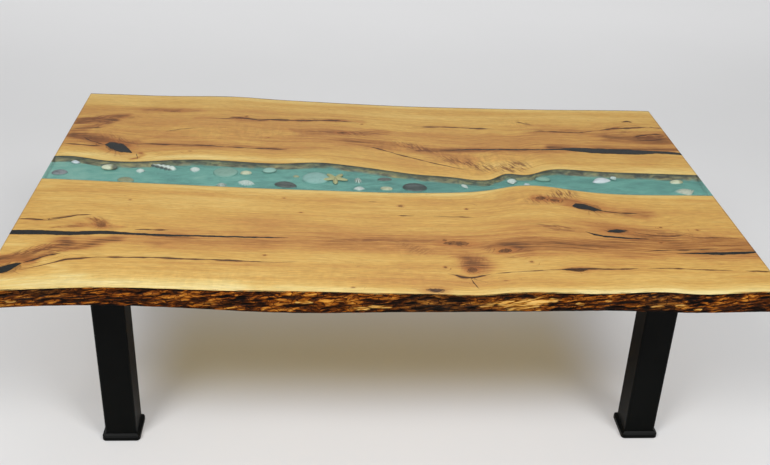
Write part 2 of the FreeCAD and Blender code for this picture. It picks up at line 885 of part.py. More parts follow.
def weld_bead(name):
    """Fillet weld round the tube: a square skirt that leans in at 45 degrees, bored for the tube."""
    half = size("tube_side") / 2
    leg = size("weld_leg")
    outlines = []
    for reach, height in ((half + leg, 0), (half, leg)):
        corners = [(-reach, -reach), (reach, -reach), (reach, reach), (-reach, reach)]
        outlines.append([Vector(x, y, height) for x, y in corners])
    skirt = stacked_solid(name + "_skirt", outlines)
    core, _ = square_block(name + "_core", "sizes.tube_side", "sizes.weld_leg", "sizes.tube_corner")
    return cut(name, skirt, core)


def leg_welds(label, leg_x, leg_y):
    """The bead on the foot plate and the bead under the top plate."""
    lower = place(weld_bead(label + "_foot"), z=FOOT_TOP)
    upper = mirrored(weld_bead(label + "_top"), Vector(0, 0, 1))
    place(upper, z=PLATE_UNDERSIDE)
    return finish(place(compound(label + "_beads", [lower, upper]), leg_x, leg_y), label)


def hex_bolt(name):
    """Hexagon head below z = 0, shank above it."""
    body = new_body(name)
    head = new_sketch(body, name + "_head")
    draw_regular(head, 6, "sizes.bolt_head_flats / 2")
    pad(body, head, "sizes.bolt_head_height", reverse=True)
    shank = new_sketch(body, name + "_shank")
    draw_regular(shank, FASTENER_SIDES, "sizes.bolt_diameter / 2")
    pad(body, shank, "sizes.bolt_length")
    return body


def ring(name, outer, inner, height):
    """Washer or sleeve about the Z axis."""
    body = new_body(name)
    sketch = new_sketch(body, name + "_section")
    draw_regular(sketch, FASTENER_SIDES, outer)
    draw_regular(sketch, FASTENER_SIDES, inner)
    pad(body, sketch, height)
    return body


def at_bolt(obj):
    """Move a fastener to the bolt at +X, +Y of its leg."""
    return place(obj, "sizes.bolt_spacing / 2", "sizes.bolt_spacing / 2")


def fastener_groups():
    """Bolts, washers and threaded inserts of all four legs: (label, pieces) pairs."""
    clear_radius = "sizes.bolt_diameter / 2 + sizes.bolt_clearance"
    washer_bottom = "%s - sizes.washer_thickness" % PLATE_UNDERSIDE
    kinds = (
        ("leg_bolts", washer_bottom, hex_bolt, ()),
        (
            "leg_washers",
            washer_bottom,
            ring,
            ("sizes.washer_diameter / 2", clear_radius, "sizes.washer_thickness"),
        ),
        (
            "leg_inserts",
            UNDERSIDE,
            ring,
            ("sizes.insert_diameter / 2", clear_radius, "sizes.insert_length"),
        ),
    )
    for label, height, make, sizes in kinds:
        groups = []
        for leg, side_x, side_y in LEGS:
            single = at_bolt(make("%s_%s_single" % (label, leg), *sizes))
            group = four_of(single, "%s_%s" % (label, leg))
            groups.append(place(group, LEG_X[side_x], LEG_Y[side_y], height))
        finish(compound(label + "_all", groups), label)


for leg, side_x, side_y in LEGS:
    leg_x, leg_y = LEG_X[side_x], LEG_Y[side_y]
    leg_tube("leg_tube_" + leg, leg_x, leg_y)
    top_plate("leg_top_plate_" + leg, leg_x, leg_y)
    foot_plate("leg_foot_plate_" + leg, leg_x, leg_y)
    felt_pad("leg_felt_pad_" + leg, leg_x, leg_y)
    leg_welds("leg_welds_" + leg, leg_x, leg_y)
fastener_groups()

# ---------------------------------------------------------------- checks and files

doc.recompute()
for obj in doc.Objects:
    if {"Invalid", "Error"} & set(obj.State):
        raise RuntimeError("%s failed to build: %s" % (obj.Label, obj.State))

os.makedirs("parts", exist_ok=True)
for piece in subparts:
    shape = piece.Shape
    if shape.isNull() or not shape.isValid() or not shape.Solids:
        raise RuntimeError("%s has no valid solid" % piece.Label)
    shape.exportStep("parts/%s.step" % piece.Label)
    box = shape.BoundBox
    print(
        "%-28s solids %2d  volume %10.0f  x %.1f..%.1f  y %.1f..%.1f  z %.1f..%.1f"
        % (
            piece.Label,
            len(shape.Solids),
            shape.Volume,
            box.XMin,
            box.XMax,
            box.YMin,
            box.YMax,
            box.ZMin,
            box.ZMax,
        )
    )
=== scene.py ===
import itertools
import logging
import math
from collections.abc import Callable, Sequence
from dataclasses import dataclass
from enum import Enum, IntEnum, auto

import bpy
import numpy as np
from mathutils import Matrix, Vector


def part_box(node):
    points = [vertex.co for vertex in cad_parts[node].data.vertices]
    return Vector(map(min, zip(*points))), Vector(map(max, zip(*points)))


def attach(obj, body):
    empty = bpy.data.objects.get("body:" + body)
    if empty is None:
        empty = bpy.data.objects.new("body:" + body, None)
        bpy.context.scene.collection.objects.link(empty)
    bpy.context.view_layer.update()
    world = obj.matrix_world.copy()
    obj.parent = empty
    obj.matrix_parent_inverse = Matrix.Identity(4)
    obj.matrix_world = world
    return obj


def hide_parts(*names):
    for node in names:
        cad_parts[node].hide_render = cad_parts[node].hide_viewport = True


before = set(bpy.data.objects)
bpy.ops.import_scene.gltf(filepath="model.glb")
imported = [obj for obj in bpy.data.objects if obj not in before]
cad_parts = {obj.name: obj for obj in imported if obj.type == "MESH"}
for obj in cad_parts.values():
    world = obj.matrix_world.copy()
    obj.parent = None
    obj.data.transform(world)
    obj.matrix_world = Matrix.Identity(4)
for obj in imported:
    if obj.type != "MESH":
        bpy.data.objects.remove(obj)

log = logging.getLogger("river_table")

# Looks of a live edge river table, in metres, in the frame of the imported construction: +X along
# the table, +Y towards the rear plank, +Z up from the floor.

Array = np.ndarray
Faces = list[np.ndarray]
Material = bpy.types.Material
Tree = bpy.types.NodeTree
Socket = bpy.types.NodeSocket
Inputs = dict[str, object]
Triple = tuple[float, float, float]

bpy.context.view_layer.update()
MM = 0.001
ROOT = "root"

# ---------------------------------------------------------------- meshes worked out as arrays

WELD_DISTANCE = 0.01 * MM
NOISE_PRIMES = np.array((374761393, 668265263, 1440662683))
NOISE_SEED_STEP = 1013904223
NOISE_MIX = 1274126177
NOISE_MASK = 0x7FFFFFFF


class Side(IntEnum):
    """Faces of a block, in the order that block_surface lists them."""

    START = 0
    END = 1
    BANK = 2
    EDGE = 3
    TOP = 4
    UNDER = 5


def noise(points: Array, size: Sequence[float], seed: int) -> Array:
    """Smooth random field: random values at the corners of a lattice, eased between them.

    Args:
        points: (..., 3) places.
        size: edge lengths of a lattice cell along x, y and z.
        seed: picks one field.

    Returns:
        Values from -1 to 1, one for each point.
    """
    cell = points / np.asarray(size, float)
    base = np.floor(cell).astype(np.int64)
    part = cell - base
    ease = part * part * (3 - 2 * part)
    total = np.zeros(points.shape[:-1])
    for corner in itertools.product((0, 1), repeat=3):
        mixed = ((base + corner) * NOISE_PRIMES).sum(-1) + seed * NOISE_SEED_STEP
        mixed = ((mixed ^ (mixed >> 13)) * NOISE_MIX) & NOISE_MASK
        mixed = ((mixed ^ (mixed >> 15)) * NOISE_MIX) & NOISE_MASK
        weight = np.where(corner, ease, 1 - ease).prod(-1)
        total += weight * (2 * mixed / NOISE_MASK - 1)
    return total


def fractal(points: Array, size: Sequence[float], octaves: int, seed: int) -> Array:
    """Sum of noise fields, each with half the cells and half the height of the one before.

    Args:
        points: (..., 3) places.
        size: lattice cell of the first field.
        octaves: number of fields.
        seed: picks the first field.

    Returns:
        A value for each point.
    """
    total = np.zeros(points.shape[:-1])
    for octave in range(octaves):
        total += noise(points, np.asarray(size) / 2**octave, seed + octave) / 2**octave
    return total


def smooth_step(low: float, high: float, value: Array) -> Array:
    """0 up to low, 1 from high on, and 3t^2 - 2t^3 of the share t between them."""
    share = np.clip((value - low) / (high - low), 0, 1)
    return share * share * (3 - 2 * share)


def join(*parts: Array | float) -> Array:
    """Points or vectors from their coordinates, an array or one number for each axis."""
    return np.stack(np.broadcast_arrays(*parts), -1)


def turned(offset: Array, degrees: float) -> tuple[Array, Array]:
    """How far flat offsets reach along a direction, and how far across it."""
    cos, sin = math.cos(math.radians(degrees)), math.sin(math.radians(degrees))
    return offset @ (cos, sin), offset @ (-sin, cos)


def block_surface(along: int, across: int, down: int) -> tuple[Array, Array, Array]:
    """Surface of a unit cube cut into cells, its sides welded along the cube's edges.

    Args:
        along: cells along u.
        across: cells along v.
        down: cells along w.

    Returns:
        (n, 3) places (u, v, w) from 0 to 1, (m, 4) quads, and the Side of each quad.
    """
    shape = (along + 1, across + 1, down + 1)
    index = np.arange(np.prod(shape)).reshape(shape)
    sides = (index[0], index[-1], index[:, 0], index[:, -1], index[:, :, 0], index[:, :, -1])
    turned = (True, False, False, True, True, False)
    quads, side_of = [], []
    for side, (grid, flip) in enumerate(zip(sides, turned)):
        quad = grid_quads(grid)
        quads.append(quad[:, ::-1] if flip else quad)
        side_of.append(np.full(len(quad), side))
    used, faces = np.unique(np.concatenate(quads), return_inverse=True)
    places = np.stack(np.unravel_index(used, shape), -1) / (np.array(shape) - 1)
    return places, faces.reshape(-1, 4), np.concatenate(side_of)


def grid_quads(grid: Array) -> Array:
    """The quads between the numbers of a grid's points."""
    corners = (grid[:-1, :-1], grid[1:, :-1], grid[1:, 1:], grid[:-1, 1:])
    return np.stack(corners, -1).reshape(-1, 4)


def ring_surface(rings: Array) -> tuple[Array, Faces]:
    """Closed surface through rings of points; the first and last ring each shrink to a pole.

    Args:
        rings: (k, n, 3) points, ring by ring, the first and last ring each in one place.

    Returns:
        (m, 3) points and the faces, fans at the poles and quads between the rings.
    """
    count, spokes = rings.shape[:2]
    points = np.concatenate([rings[0, :1], rings[1:-1].reshape(-1, 3), rings[-1, :1]])
    here = np.arange(spokes)
    after = np.roll(here, -1)
    last = 1 + (count - 3) * spokes
    start = np.stack([np.zeros_like(here), 1 + after, 1 + here], -1)
    stop = np.stack([np.full_like(here, len(points) - 1), last + here, last + after], -1)
    row = 1 + spokes * np.arange(count - 3)[:, None]
    body = np.stack([row + here, row + after, row + spokes + after, row + spokes + here], -1)
    return points, [start, body.reshape(-1, 4), stop]


def outward(points: Array, faces: Faces) -> Faces:
    """The faces, turned round if the volume that they close comes out negative.

    The volume is the sum of a . (b x c) over the triangles, six times too large.

    Args:
        points: (n, 3) places.
        faces: groups of faces that close one volume.

    Returns:
        The groups, pointing outwards.
    """
    volume = 0.0
    for group in faces:
        corner = points[group]
        for step in range(1, group.shape[1] - 1):
            spread = np.cross(corner[:, step], corner[:, step + 1])
            volume += np.einsum("ij,ij->", corner[:, 0], spread)
    return faces if volume > 0 else [group[:, ::-1] for group in faces]


def make_mesh(name: str, points: Array, faces: Faces) -> bpy.types.Mesh:
    """Mesh from whole arrays, smooth all over.

    Args:
        name: its name.
        points: (n, 3) places.
        faces: groups of faces, the faces of a group with as many corners each.

    Returns:
        The mesh.
    """
    mesh = bpy.data.meshes.new(name)
    sizes = np.concatenate([np.full(len(group), group.shape[1]) for group in faces])
    corners = np.concatenate([group.ravel() for group in faces])
    mesh.vertices.add(len(points))
    mesh.vertices.foreach_set("co", np.asarray(points, np.float32).ravel())
    mesh.loops.add(len(corners))
    mesh.loops.foreach_set("vertex_index", corners.astype(np.int32))
    mesh.polygons.add(len(sizes))
    mesh.polygons.foreach_set("loop_start", (np.cumsum(sizes) - sizes).astype(np.int32))
    mesh.polygons.foreach_set("loop_total", sizes.astype(np.int32))
    mesh.polygons.foreach_set("use_smooth", np.ones(len(sizes), bool))
    mesh.update(calc_edges=True)
    return mesh


def put_in_scene(name: str, data: bpy.types.ID) -> bpy.types.Object:
    """A new object in the scene that holds the mesh, lamp or camera."""
    holder = bpy.data.objects.new(name, data)
    bpy.context.scene.collection.objects.link(holder)
    return holder


@dataclass
class Piece:
    """A finished piece: its surface, what its material reads, and the construction it stands for.

    Args:
        name: the piece's own name.
        points: (n, 3) places in metres.
        faces: groups of faces.
        slot: the record's material slot; not used.
        node: the construction node that the piece replaces.
        finishes: materials, one for each material slot.
        slot_of: material slot of each face, or None where there is one.
        fields: attributes by name, a number or a vector for each point, for the materials to read.
        crease: turn in degrees from which an edge is sharp, or None for a soft piece.
    """

    name: str
    points: Array
    faces: Faces
    slot: str
    node: str
    finishes: tuple[Material, ...]
    slot_of: Array | None = None
    fields: dict[str, Array] | None = None
    crease: float | None = None

    def build(self) -> None:
        """Make the object, dress it and let it ride on the frame."""
        mesh = make_mesh(self.name, self.points, outward(self.points, self.faces))
        for finish in self.finishes:
            mesh.materials.append(finish)
        if self.slot_of is not None:
            mesh.polygons.foreach_set("material_index", self.slot_of.astype(np.int32))
        for name, values in (self.fields or {}).items():
            kind, field = ("FLOAT", "value") if values.ndim == 1 else ("FLOAT_VECTOR", "vector")
            store = mesh.attributes.new(name, kind, "POINT")
            store.data.foreach_set(field, np.asarray(values, np.float32).ravel())
        if self.crease is not None:
            mesh.set_sharp_from_angle(angle=math.radians(self.crease))
        piece = put_in_scene(self.name, mesh)
        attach(piece, ROOT)
        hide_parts(self.node)
        log.info("%s: %d points for %s", self.name, len(self.points), self.node)


def node_mesh(node: str) -> tuple[Array, Array]:
    """Mesh of a construction node.

    Args:
        node: its name.

    Returns:
        (n, 3) places of its corners, and the (m, 3) corners of its triangles.
    """
    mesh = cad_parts[node].data
    points = np.empty(3 * len(mesh.vertices), np.float32)
    mesh.vertices.foreach_get("co", points)
    corners = np.empty(len(mesh.loops), np.int32)
    mesh.loops.foreach_get("vertex_index", corners)
    return points.reshape(-1, 3).astype(float), corners.reshape(-1, 3)


def loose_parts(node: str) -> list[Array]:
    """Separate solids of a node.

    Every corner starts with a label of its own, and each triangle hands its lowest label to its
    corners until no label changes.

    Args:
        node: its name.

    Returns:
        Corners of each solid, from left to right.
    """
    points, triangles = node_mesh(node)
    _, place = np.unique(np.round(points / WELD_DISTANCE), axis=0, return_inverse=True)
    place = place.ravel()
    triangles = place[triangles]
    label = np.arange(place.max() + 1)
    settled = False
    while not settled:
        spread = label.copy()
        np.minimum.at(spread, triangles.ravel(), np.repeat(label[triangles].min(1), 3))
        settled = np.array_equal(spread, label)
        label = spread
    groups = label[place]
    parts = [np.unique(points[groups == group], axis=0) for group in np.unique(groups)]
    return sorted(parts, key=lambda part: part[:, 0].mean())


# ---------------------------------------------------------------- materials


def linear(colour: str) -> tuple[float, float, float, float]:
    """An sRGB colour such as #D9B06B as linear red, green, blue and 1."""
    parts = [int(colour[start : start + 2], 16) / 255 for start in (1, 3, 5)]
    curve = [p / 12.92 if p <= 0.04045 else ((p + 0.055) / 1.055) ** 2.4 for p in parts]
    return curve[0], curve[1], curve[2], 1.0


def add_node(
    tree: Tree,
    kind: str,
    inputs: dict | None = None,
    out: int = 0,
    stops: Sequence[tuple[float, str]] = (),
    **settings: object,
) -> Socket | None:
    """Add a node with its settings and links.

    Args:
        tree: the material's tree.
        kind: the node's type, less the leading ShaderNode.
        inputs: a value or a socket to link for each input, by its name or number.
        out: number of the output to hand back.
        stops: a ColorRamp's places and colours.
        **settings: properties of the node.

    Returns:
        One output of the node, or None if it has none.
    """
    node = tree.nodes.new("ShaderNode" + kind)
    for name, value in settings.items():
        setattr(node, name, value)
    if stops:
        elements = node.color_ramp.elements
        while len(elements) < len(stops):
            elements.new(0.5)
        for element, (place, colour) in zip(elements, stops):
            element.position = place
            element.color = linear(colour)
    for key, value in (inputs or {}).items():
        socket = node.inputs[key]
        if isinstance(value, Socket):
            tree.links.new(value, socket)
        else:
            socket.default_value = linear(value) if isinstance(value, str) else value
    return node.outputs[out] if len(node.outputs) else None


class Mix(IntEnum):
    """Numbers of a colour Mix node's inputs and output."""

    FACTOR = 0
    FIRST = 6
    SECOND = 7
    RESULT = 2


class Out(IntEnum):
    """Numbers of the outputs that the finishes read."""

    VECTOR = 1
    NUMBER = 2
    OBJECT = 3
    BACKFACING = 6


def blend(
    tree: Tree, factor: Socket | float, first: Socket | str, second: Socket | str, kind: str = "MIX"
) -> Socket:
    """First colour, and the second one laid over it by the factor.

    Args:
        tree: the material's tree.
        factor: 0 to 1.
        first: colour below.
        second: colour above.
        kind: how the second colour meets the first.

    Returns:
        The colour's socket.
    """
    inputs = {Mix.FACTOR: factor, Mix.FIRST: first, Mix.SECOND: second}
    return add_node(tree, "Mix", inputs, Mix.RESULT, data_type="RGBA", blend_type=kind)


def pattern(
    tree: Tree,
    source: Socket,
    cell: Triple,
    detail: float = 2.0,
    shift: float = 0.0,
    twist: float = 0.0,
) -> Socket:
    """Cloudy pattern whose cells have a real size.

    Args:
        tree: the material's tree.
        source: coordinates in metres.
        cell: size of a cell along each axis, in millimetres.
        detail: octaves of finer noise.
        shift: moves the pattern to another part of the noise.
        twist: distortion of the noise.

    Returns:
        A value that wanders about a half.
    """
    scale = tuple(1 / (size * MM) for size in cell)
    inputs = {"Vector": source, "Scale": scale, "Location": (shift, shift, shift)}
    place = add_node(tree, "Mapping", inputs)
    inputs = {"Vector": place, "Scale": 1.0, "Detail": detail, "Distortion": twist}
    return add_node(tree, "TexNoise", inputs, noise_dimensions="3D")


def ranged(
    tree: Tree, value: Socket, low: float, high: float, start: float = 0.0, stop: float = 1.0
) -> Socket:
    """The value, moved smoothly from the range low to high into the range start to stop."""
    inputs = {"Value": value, 1: low, 2: high, 3: start, 4: stop}
    return add_node(tree, "MapRange", inputs, interpolation_type="SMOOTHSTEP")


def product(tree: Tree, value: Socket, *others: Socket | float) -> Socket:
    """The value times all the others."""
    for other in others:
        value = add_node(tree, "Math", {0: value, 1: other}, operation="MULTIPLY")
    return value


def weighted(tree: Tree, base: Socket, *parts: tuple[Socket, float]) -> Socket:
    """Base plus each pattern's swing about a half, times its weight.

    Args:
        tree: the material's tree.
        base: a value.
        *parts: patterns and their weights.

    Returns:
        The sum.
    """
    for value, weight in parts:
        swing = add_node(tree, "Math", {0: value, 1: 0.5}, operation="SUBTRACT")
        base = add_node(tree, "Math", {0: swing, 1: weight, 2: base}, operation="MULTIPLY_ADD")
    return base


@dataclass(frozen=True)
class Finish:
    """A finish, whose own class says what its surface is made of.

    Args:
        name: the material's name.
    """

    name: str

    def build(self) -> Material:
        """Make the material: the finish's shader and the output.

        Returns:
            The material.
        """
        material = bpy.data.materials.new(self.name)
        material.use_nodes = True
        tree = material.node_tree
        tree.nodes.clear()
        add_node(tree, "OutputMaterial", {"Surface": self.shader(tree)})
        return material

    def shader(self, tree: Tree) -> Socket:
        """A principled shader with the inputs that surface gives."""
        return add_node(tree, "BsdfPrincipled", self.surface(tree))

    def surface(self, tree: Tree) -> Inputs:
        """What the surface is made of, for the principled shader.

        Args:
            tree: the material's tree.

        Returns:
            Values and sockets by the names of the shader's inputs.
        """
        raise NotImplementedError


@dataclass(frozen=True)
class Oak(Finish):
    """Oak, planed, sanded and cast over with clear resin: deep gold with a wet, even gloss.

    It reads the attributes grain, tone, crack, knot, lash and figure. Each layer takes the tree,
    the grain's coordinates and the colour below it, and returns the colour with the layer on it.

    Args:
        roughness: of the wood under its coat.
    """

    name: str = "oak_sanded_clear_coated"
    roughness: float = 0.5

    def surface(self, tree: Tree) -> Inputs:
        """Growth bands 38 mm wide and rings 6.5 mm wide, drawn out along the trunk, under a haze.

        Fibres are 0.3 mm wide on the real wood and drawn 1.2 mm wide, so that they show.
        """
        grain = add_node(tree, "Attribute", out=Out.VECTOR, attribute_name="grain")
        tones = add_node(tree, "Attribute", out=Out.VECTOR, attribute_name="tone")
        tone = add_node(tree, "SeparateXYZ", {0: tones}, out=0)
        stain = add_node(tree, "SeparateXYZ", {0: tones}, out=1)
        bands = pattern(tree, grain, (900, 38, 60), 3.0, 3.1)
        rings = pattern(tree, grain, (380, 6.5, 30), 3.0, 7.7)
        fibres = pattern(tree, grain, (26, 1.2, 6), 3.0, 1.3)
        drift = pattern(tree, grain, (180, 60, 90), 3.0, 9.2)
        haze = pattern(tree, grain, (15, 4.5, 9), 3.0, 4.9)
        streaks = ranged(tree, pattern(tree, grain, (90, 4.2, 12), 4.0, 5.2), 0.3, 0.7, 0.45, 1.45)
        stain = product(tree, stain, streaks)
        tone = add_node(tree, "Math", {0: tone, 1: stain}, operation="ADD")
        tone = weighted(tree, tone, (bands, 0.34), (rings, 0.24), (drift, 0.32), (haze, 0.20))
        stops = (
            (0.00, "#E0CC8E"), (0.18, "#D8BB72"), (0.30, "#D1AC61"), (0.43, "#C69B50"),
            (0.58, "#B58143"), (0.78, "#94602F"), (1.00, "#5D3B1D"),
        )
        colour = add_node(tree, "ValToRGB", {"Fac": tone}, stops=stops)
        light = ranged(tree, fibres, 0.3, 0.7, 0.84, 1.10)
        colour = blend(tree, 1.0, colour, light, "MULTIPLY")
        for layer in (self.curl, self.pores, self.strokes, self.knots, self.cracks):
            colour = layer(tree, grain, colour)
        relief = {"Height": fibres, "Strength": 0.10, "Distance": 0.15 * MM}
        return {
            "Base Color": colour,
            "Roughness": self.roughness,
            "IOR": 1.5,
            "Specular IOR Level": 0.2,
            "Normal": add_node(tree, "Bump", relief),
            "Coat Weight": 0.1,
            "Coat Roughness": 0.16,
            "Coat IOR": 1.5,
        }

    @staticmethod
    def curl(tree: Tree, grain: Socket, colour: Socket) -> Socket:
        """Curly figure: soft ripples 11 mm apart across the grain, where the wood is curly."""
        figure = add_node(tree, "Attribute", out=Out.NUMBER, attribute_name="figure")
        ripple = pattern(tree, grain, (11, 38, 60), 2.0, 4.4, 0.8)
        light = ranged(tree, ripple, 0.25, 0.75, 0.76, 1.34)
        return blend(tree, figure, colour, light, "MULTIPLY")

    @staticmethod
    def pores(tree: Tree, grain: Socket, colour: Socket) -> Socket:
        """Open pores and flecks: short brown dashes, 13 mm long and drawn 1 mm wide."""
        dash = ranged(tree, pattern(tree, grain, (13, 1.1, 4), 1.0, 6.1), 0.66, 0.78, 0.0, 0.7)
        patch = ranged(tree, pattern(tree, grain, (160, 24, 40), 2.0, 2.9), 0.42, 0.62)
        return blend(tree, product(tree, dash, patch), colour, "#7A4E28")

    @staticmethod
    def strokes(tree: Tree, _: Socket, colour: Socket) -> Socket:
        """Feathered grain: brown strokes, 2 mm wide and 20 mm long.

        The attribute lash holds the place across and along the strokes, in millimetres, and how
        strongly they show.
        """
        lash = add_node(tree, "Attribute", out=Out.VECTOR, attribute_name="lash")
        strength = add_node(tree, "SeparateXYZ", {0: lash}, out=2)
        flat = add_node(tree, "VectorMath", {0: lash, 1: (MM, MM, 0)}, operation="MULTIPLY")
        line = ranged(tree, pattern(tree, flat, (4.2, 24, 1), 3.0, 3.3, 0.5), 0.47, 0.59, 0.0, 0.9)
        dusk = ranged(tree, pattern(tree, flat, (14, 40, 1), 3.0, 6.3), 0.35, 0.75, 0.0, 0.45)
        colour = blend(tree, product(tree, dusk, strength), colour, "#9C6236")
        return blend(tree, product(tree, line, strength), colour, "#6C3F20")

    @staticmethod
    def knots(tree: Tree, grain: Socket, colour: Socket) -> Socket:
        """Knots: brown halo, then ringed brown heartwood that darkens to its middle.

        Checks run out from the knot: noise over the direction from its middle.
        """
        knot = add_node(tree, "Attribute", out=Out.VECTOR, attribute_name="knot")
        strength = add_node(tree, "SeparateXYZ", {0: knot}, out=2)
        flat = add_node(tree, "VectorMath", {0: knot, 1: (1, 1, 0)}, operation="MULTIPLY")
        reach = add_node(tree, "VectorMath", {0: flat}, out=1, operation="LENGTH")
        reach = weighted(tree, reach, (pattern(tree, grain, (7, 3, 3), 3.0, 5.5), 1.3))
        halo = product(tree, ranged(tree, reach, 2.6, 0.9, 0.0, 0.62), strength)
        colour = blend(tree, halo, colour, "#A5642F")
        way = add_node(tree, "VectorMath", {0: flat}, operation="NORMALIZE")
        spokes = add_node(tree, "TexNoise", {"Vector": way, "Scale": 4.5, "Detail": 2.0})
        spokes = ranged(tree, spokes, 0.54, 0.68, 0.0, 0.75)
        spokes = product(tree, spokes, strength, ranged(tree, reach, 2.4, 1.2))
        colour = blend(tree, spokes, colour, "#74421F")
        rings = add_node(tree, "Math", {0: product(tree, reach, 16.0)}, operation="SINE")
        rings = ranged(tree, rings, -1.0, 1.0, 0.65, 1.0)
        mottle = ranged(tree, pattern(tree, grain, (6, 4, 4), 3.0, 1.7), 0.36, 0.60, 0.72, 1.0)
        core = product(tree, ranged(tree, reach, 1.1, 0.85), rings, mottle, strength)
        return blend(tree, core, colour, "#4A2A0E")

    @staticmethod
    def cracks(tree: Tree, grain: Socket, colour: Socket) -> Socket:
        """Hairline cracks filled with dark resin, in a brown stain that has soaked along them.

        The attribute crack holds the distance from the nearest crack and its half width, both in
        millimetres.
        """
        crack = add_node(tree, "Attribute", out=Out.VECTOR, attribute_name="crack")
        distance = add_node(tree, "SeparateXYZ", {0: crack}, out=0)
        half = add_node(tree, "SeparateXYZ", {0: crack}, out=1)
        distance = weighted(tree, distance, (pattern(tree, grain, (16, 9, 9), 3.0, 8.8), 3.0))
        distance = add_node(tree, "Math", {0: distance}, operation="ABSOLUTE")
        swell = ranged(tree, pattern(tree, grain, (38, 30, 30), 2.0, 2.2), 0.30, 0.70, 0.45, 1.4)
        half = product(tree, half, swell)
        wide = product(tree, half, 3.0)
        near = add_node(tree, "Math", {0: wide, 1: distance}, operation="SUBTRACT")
        soak = ranged(tree, near, 0.0, 4.0, 0.0, 0.55)
        colour = blend(tree, soak, colour, "#8A5228")
        near = add_node(tree, "Math", {0: half, 1: distance}, operation="SUBTRACT")
        line = ranged(tree, near, -0.4, 0.3, 0.0, 0.96)
        line = product(tree, line, ranged(tree, half, 0.05, 0.3))
        return blend(tree, line, colour, "#3B2312")


@dataclass(frozen=True)
class OakEndGrain(Finish):
    """Sawn oak end grain under clear coat: arcs of growth rings, darker than the long grain.

    Args:
        ring_spacing: distance between two rings in millimetres.
    """

    name: str = "oak_end_grain_clear_coated"
    ring_spacing: float = 3.2

    def surface(self, tree: Tree) -> Inputs:
        """Rings about a line along X, 260 mm under the table's top."""
        place = add_node(tree, "TexCoord", out=Out.OBJECT)
        rings = {
            "Vector": add_node(tree, "Mapping", {"Vector": place, "Location": (0, 0.02, -0.19)}),
            "Scale": math.tau / 20 / (self.ring_spacing * MM),
            "Distortion": 1.4,
            "Detail": 2.0,
            "Detail Scale": 0.6,
        }
        arcs = add_node(tree, "TexWave", rings, out=1, wave_type="RINGS", rings_direction="X")
        tone = weighted(tree, arcs, (pattern(tree, place, (40, 45, 30), 3.0, 1.9), 0.9))
        stops = ((0.0, "#C89A58"), (0.5, "#B98649"), (1.0, "#8E5E33"))
        colour = add_node(tree, "ValToRGB", {"Fac": tone}, stops=stops)
        pits = ranged(tree, pattern(tree, place, (1.1, 1.1, 1.1), 1.0), 0.6, 0.75, 0.0, 0.5)
        colour = blend(tree, pits, colour, "#6A4326")
        return {"Base Color": colour, "Roughness": 0.45, "Coat Weight": 0.5, "Coat Roughness": 0.2}


@dataclass(frozen=True)
class Bark(Finish):
    """Oak bark and the layer under it, brushed clean and coated: rusty ridges, and black crevices that
    are partly painted shade.

    It reads the attributes ridge, warmth and bare.
    """

    name: str = "oak_bark_brushed_coated"

    def surface(self, tree: Tree) -> Inputs:
        """Slivers and flakes; where the bark is gone, gold wood with brown streaks 2.6 mm wide."""
        place = add_node(tree, "TexCoord", out=Out.OBJECT)
        ridge, warmth, bare = (
            add_node(tree, "Attribute", out=Out.NUMBER, attribute_name=name)
            for name in ("ridge", "warmth", "bare")
        )
        lean = add_node(tree, "Mapping", {"Vector": place, "Rotation": (0, 0.12, 0)})
        edge, tint = self.flakes(tree, lean)
        slivers = ranged(tree, pattern(tree, lean, (36, 9, 4.6), 4.0, 2.0, 0.8), 0.36, 0.66)
        specks = pattern(tree, lean, (7, 4, 2.4), 3.0, 5.0, 0.3)
        # The colour follows this height: dark in the hollows of the relief and the gaps between flakes,
        # partly painted shade, and gold on the ridges.
        height = weighted(tree, ridge, (slivers, 0.58), (tint, 0.17), (specks, 0.34))
        height = product(tree, height, edge)
        warm = (
            (0.00, "#050302"), (0.24, "#210E03"), (0.42, "#4C2204"),
            (0.58, "#763B07"), (0.78, "#A5621B"), (1.00, "#C88C38"),
        )
        cool = (
            (0.00, "#060403"), (0.26, "#190F06"), (0.50, "#3B250F"),
            (0.72, "#61411C"), (1.00, "#946A32"),
        )
        golden, grey = (
            add_node(tree, "ValToRGB", {"Fac": height}, stops=stops) for stops in (warm, cool)
        )
        colour = blend(tree, warmth, grey, golden)
        streaks = ranged(tree, pattern(tree, lean, (26, 8, 2.6), 3.0, 8.1, 0.6), 0.36, 0.62)
        stops = ((0.0, "#512906"), (0.3, "#9B5F1A"), (0.6, "#C78E3A"), (1.0, "#D8AC60"))
        inner = add_node(tree, "ValToRGB", {"Fac": streaks}, stops=stops)
        relief = {"Height": slivers, "Strength": 0.7, "Distance": 1.2 * MM}
        return {
            "Base Color": blend(tree, bare, colour, inner),
            "Roughness": 0.5,
            "Specular IOR Level": 0.06,
            "Normal": add_node(tree, "Bump", relief),
        }

    @staticmethod
    def flakes(tree: Tree, place: Socket) -> tuple[Socket, Socket]:
        """Flakes 20 mm long and 5 mm high, with gaps between them.

        Args:
            tree: the material's tree.
            place: coordinates in metres.

        Returns:
            0.5 in the gaps up to 1 on the flakes, and a tint from 0 to 1 for each flake.
        """
        bend = add_node(tree, "TexNoise", {"Vector": place, "Scale": 70.0, "Detail": 3.0}, out=1)
        bend = add_node(tree, "VectorMath", {0: bend, 1: (0.5, 0.5, 0.5)}, operation="SUBTRACT")
        reach = (26 * MM, 0, 10 * MM)
        bend = add_node(tree, "VectorMath", {0: bend, 1: reach}, operation="MULTIPLY")
        bent = add_node(tree, "VectorMath", {0: place, 1: bend}, operation="ADD")
        scale = (1 / (20 * MM), 1 / (14 * MM), 1 / (5 * MM))
        cells = {"Vector": add_node(tree, "Mapping", {"Vector": bent, "Scale": scale}), "Scale": 1.0}
        gap = add_node(tree, "TexVoronoi", cells, feature="DISTANCE_TO_EDGE")
        tint = add_node(tree, "SeparateXYZ", {0: add_node(tree, "TexVoronoi", cells, out=1)})
        return ranged(tree, gap, 0.0, 0.10, 0.5, 1.0), tint


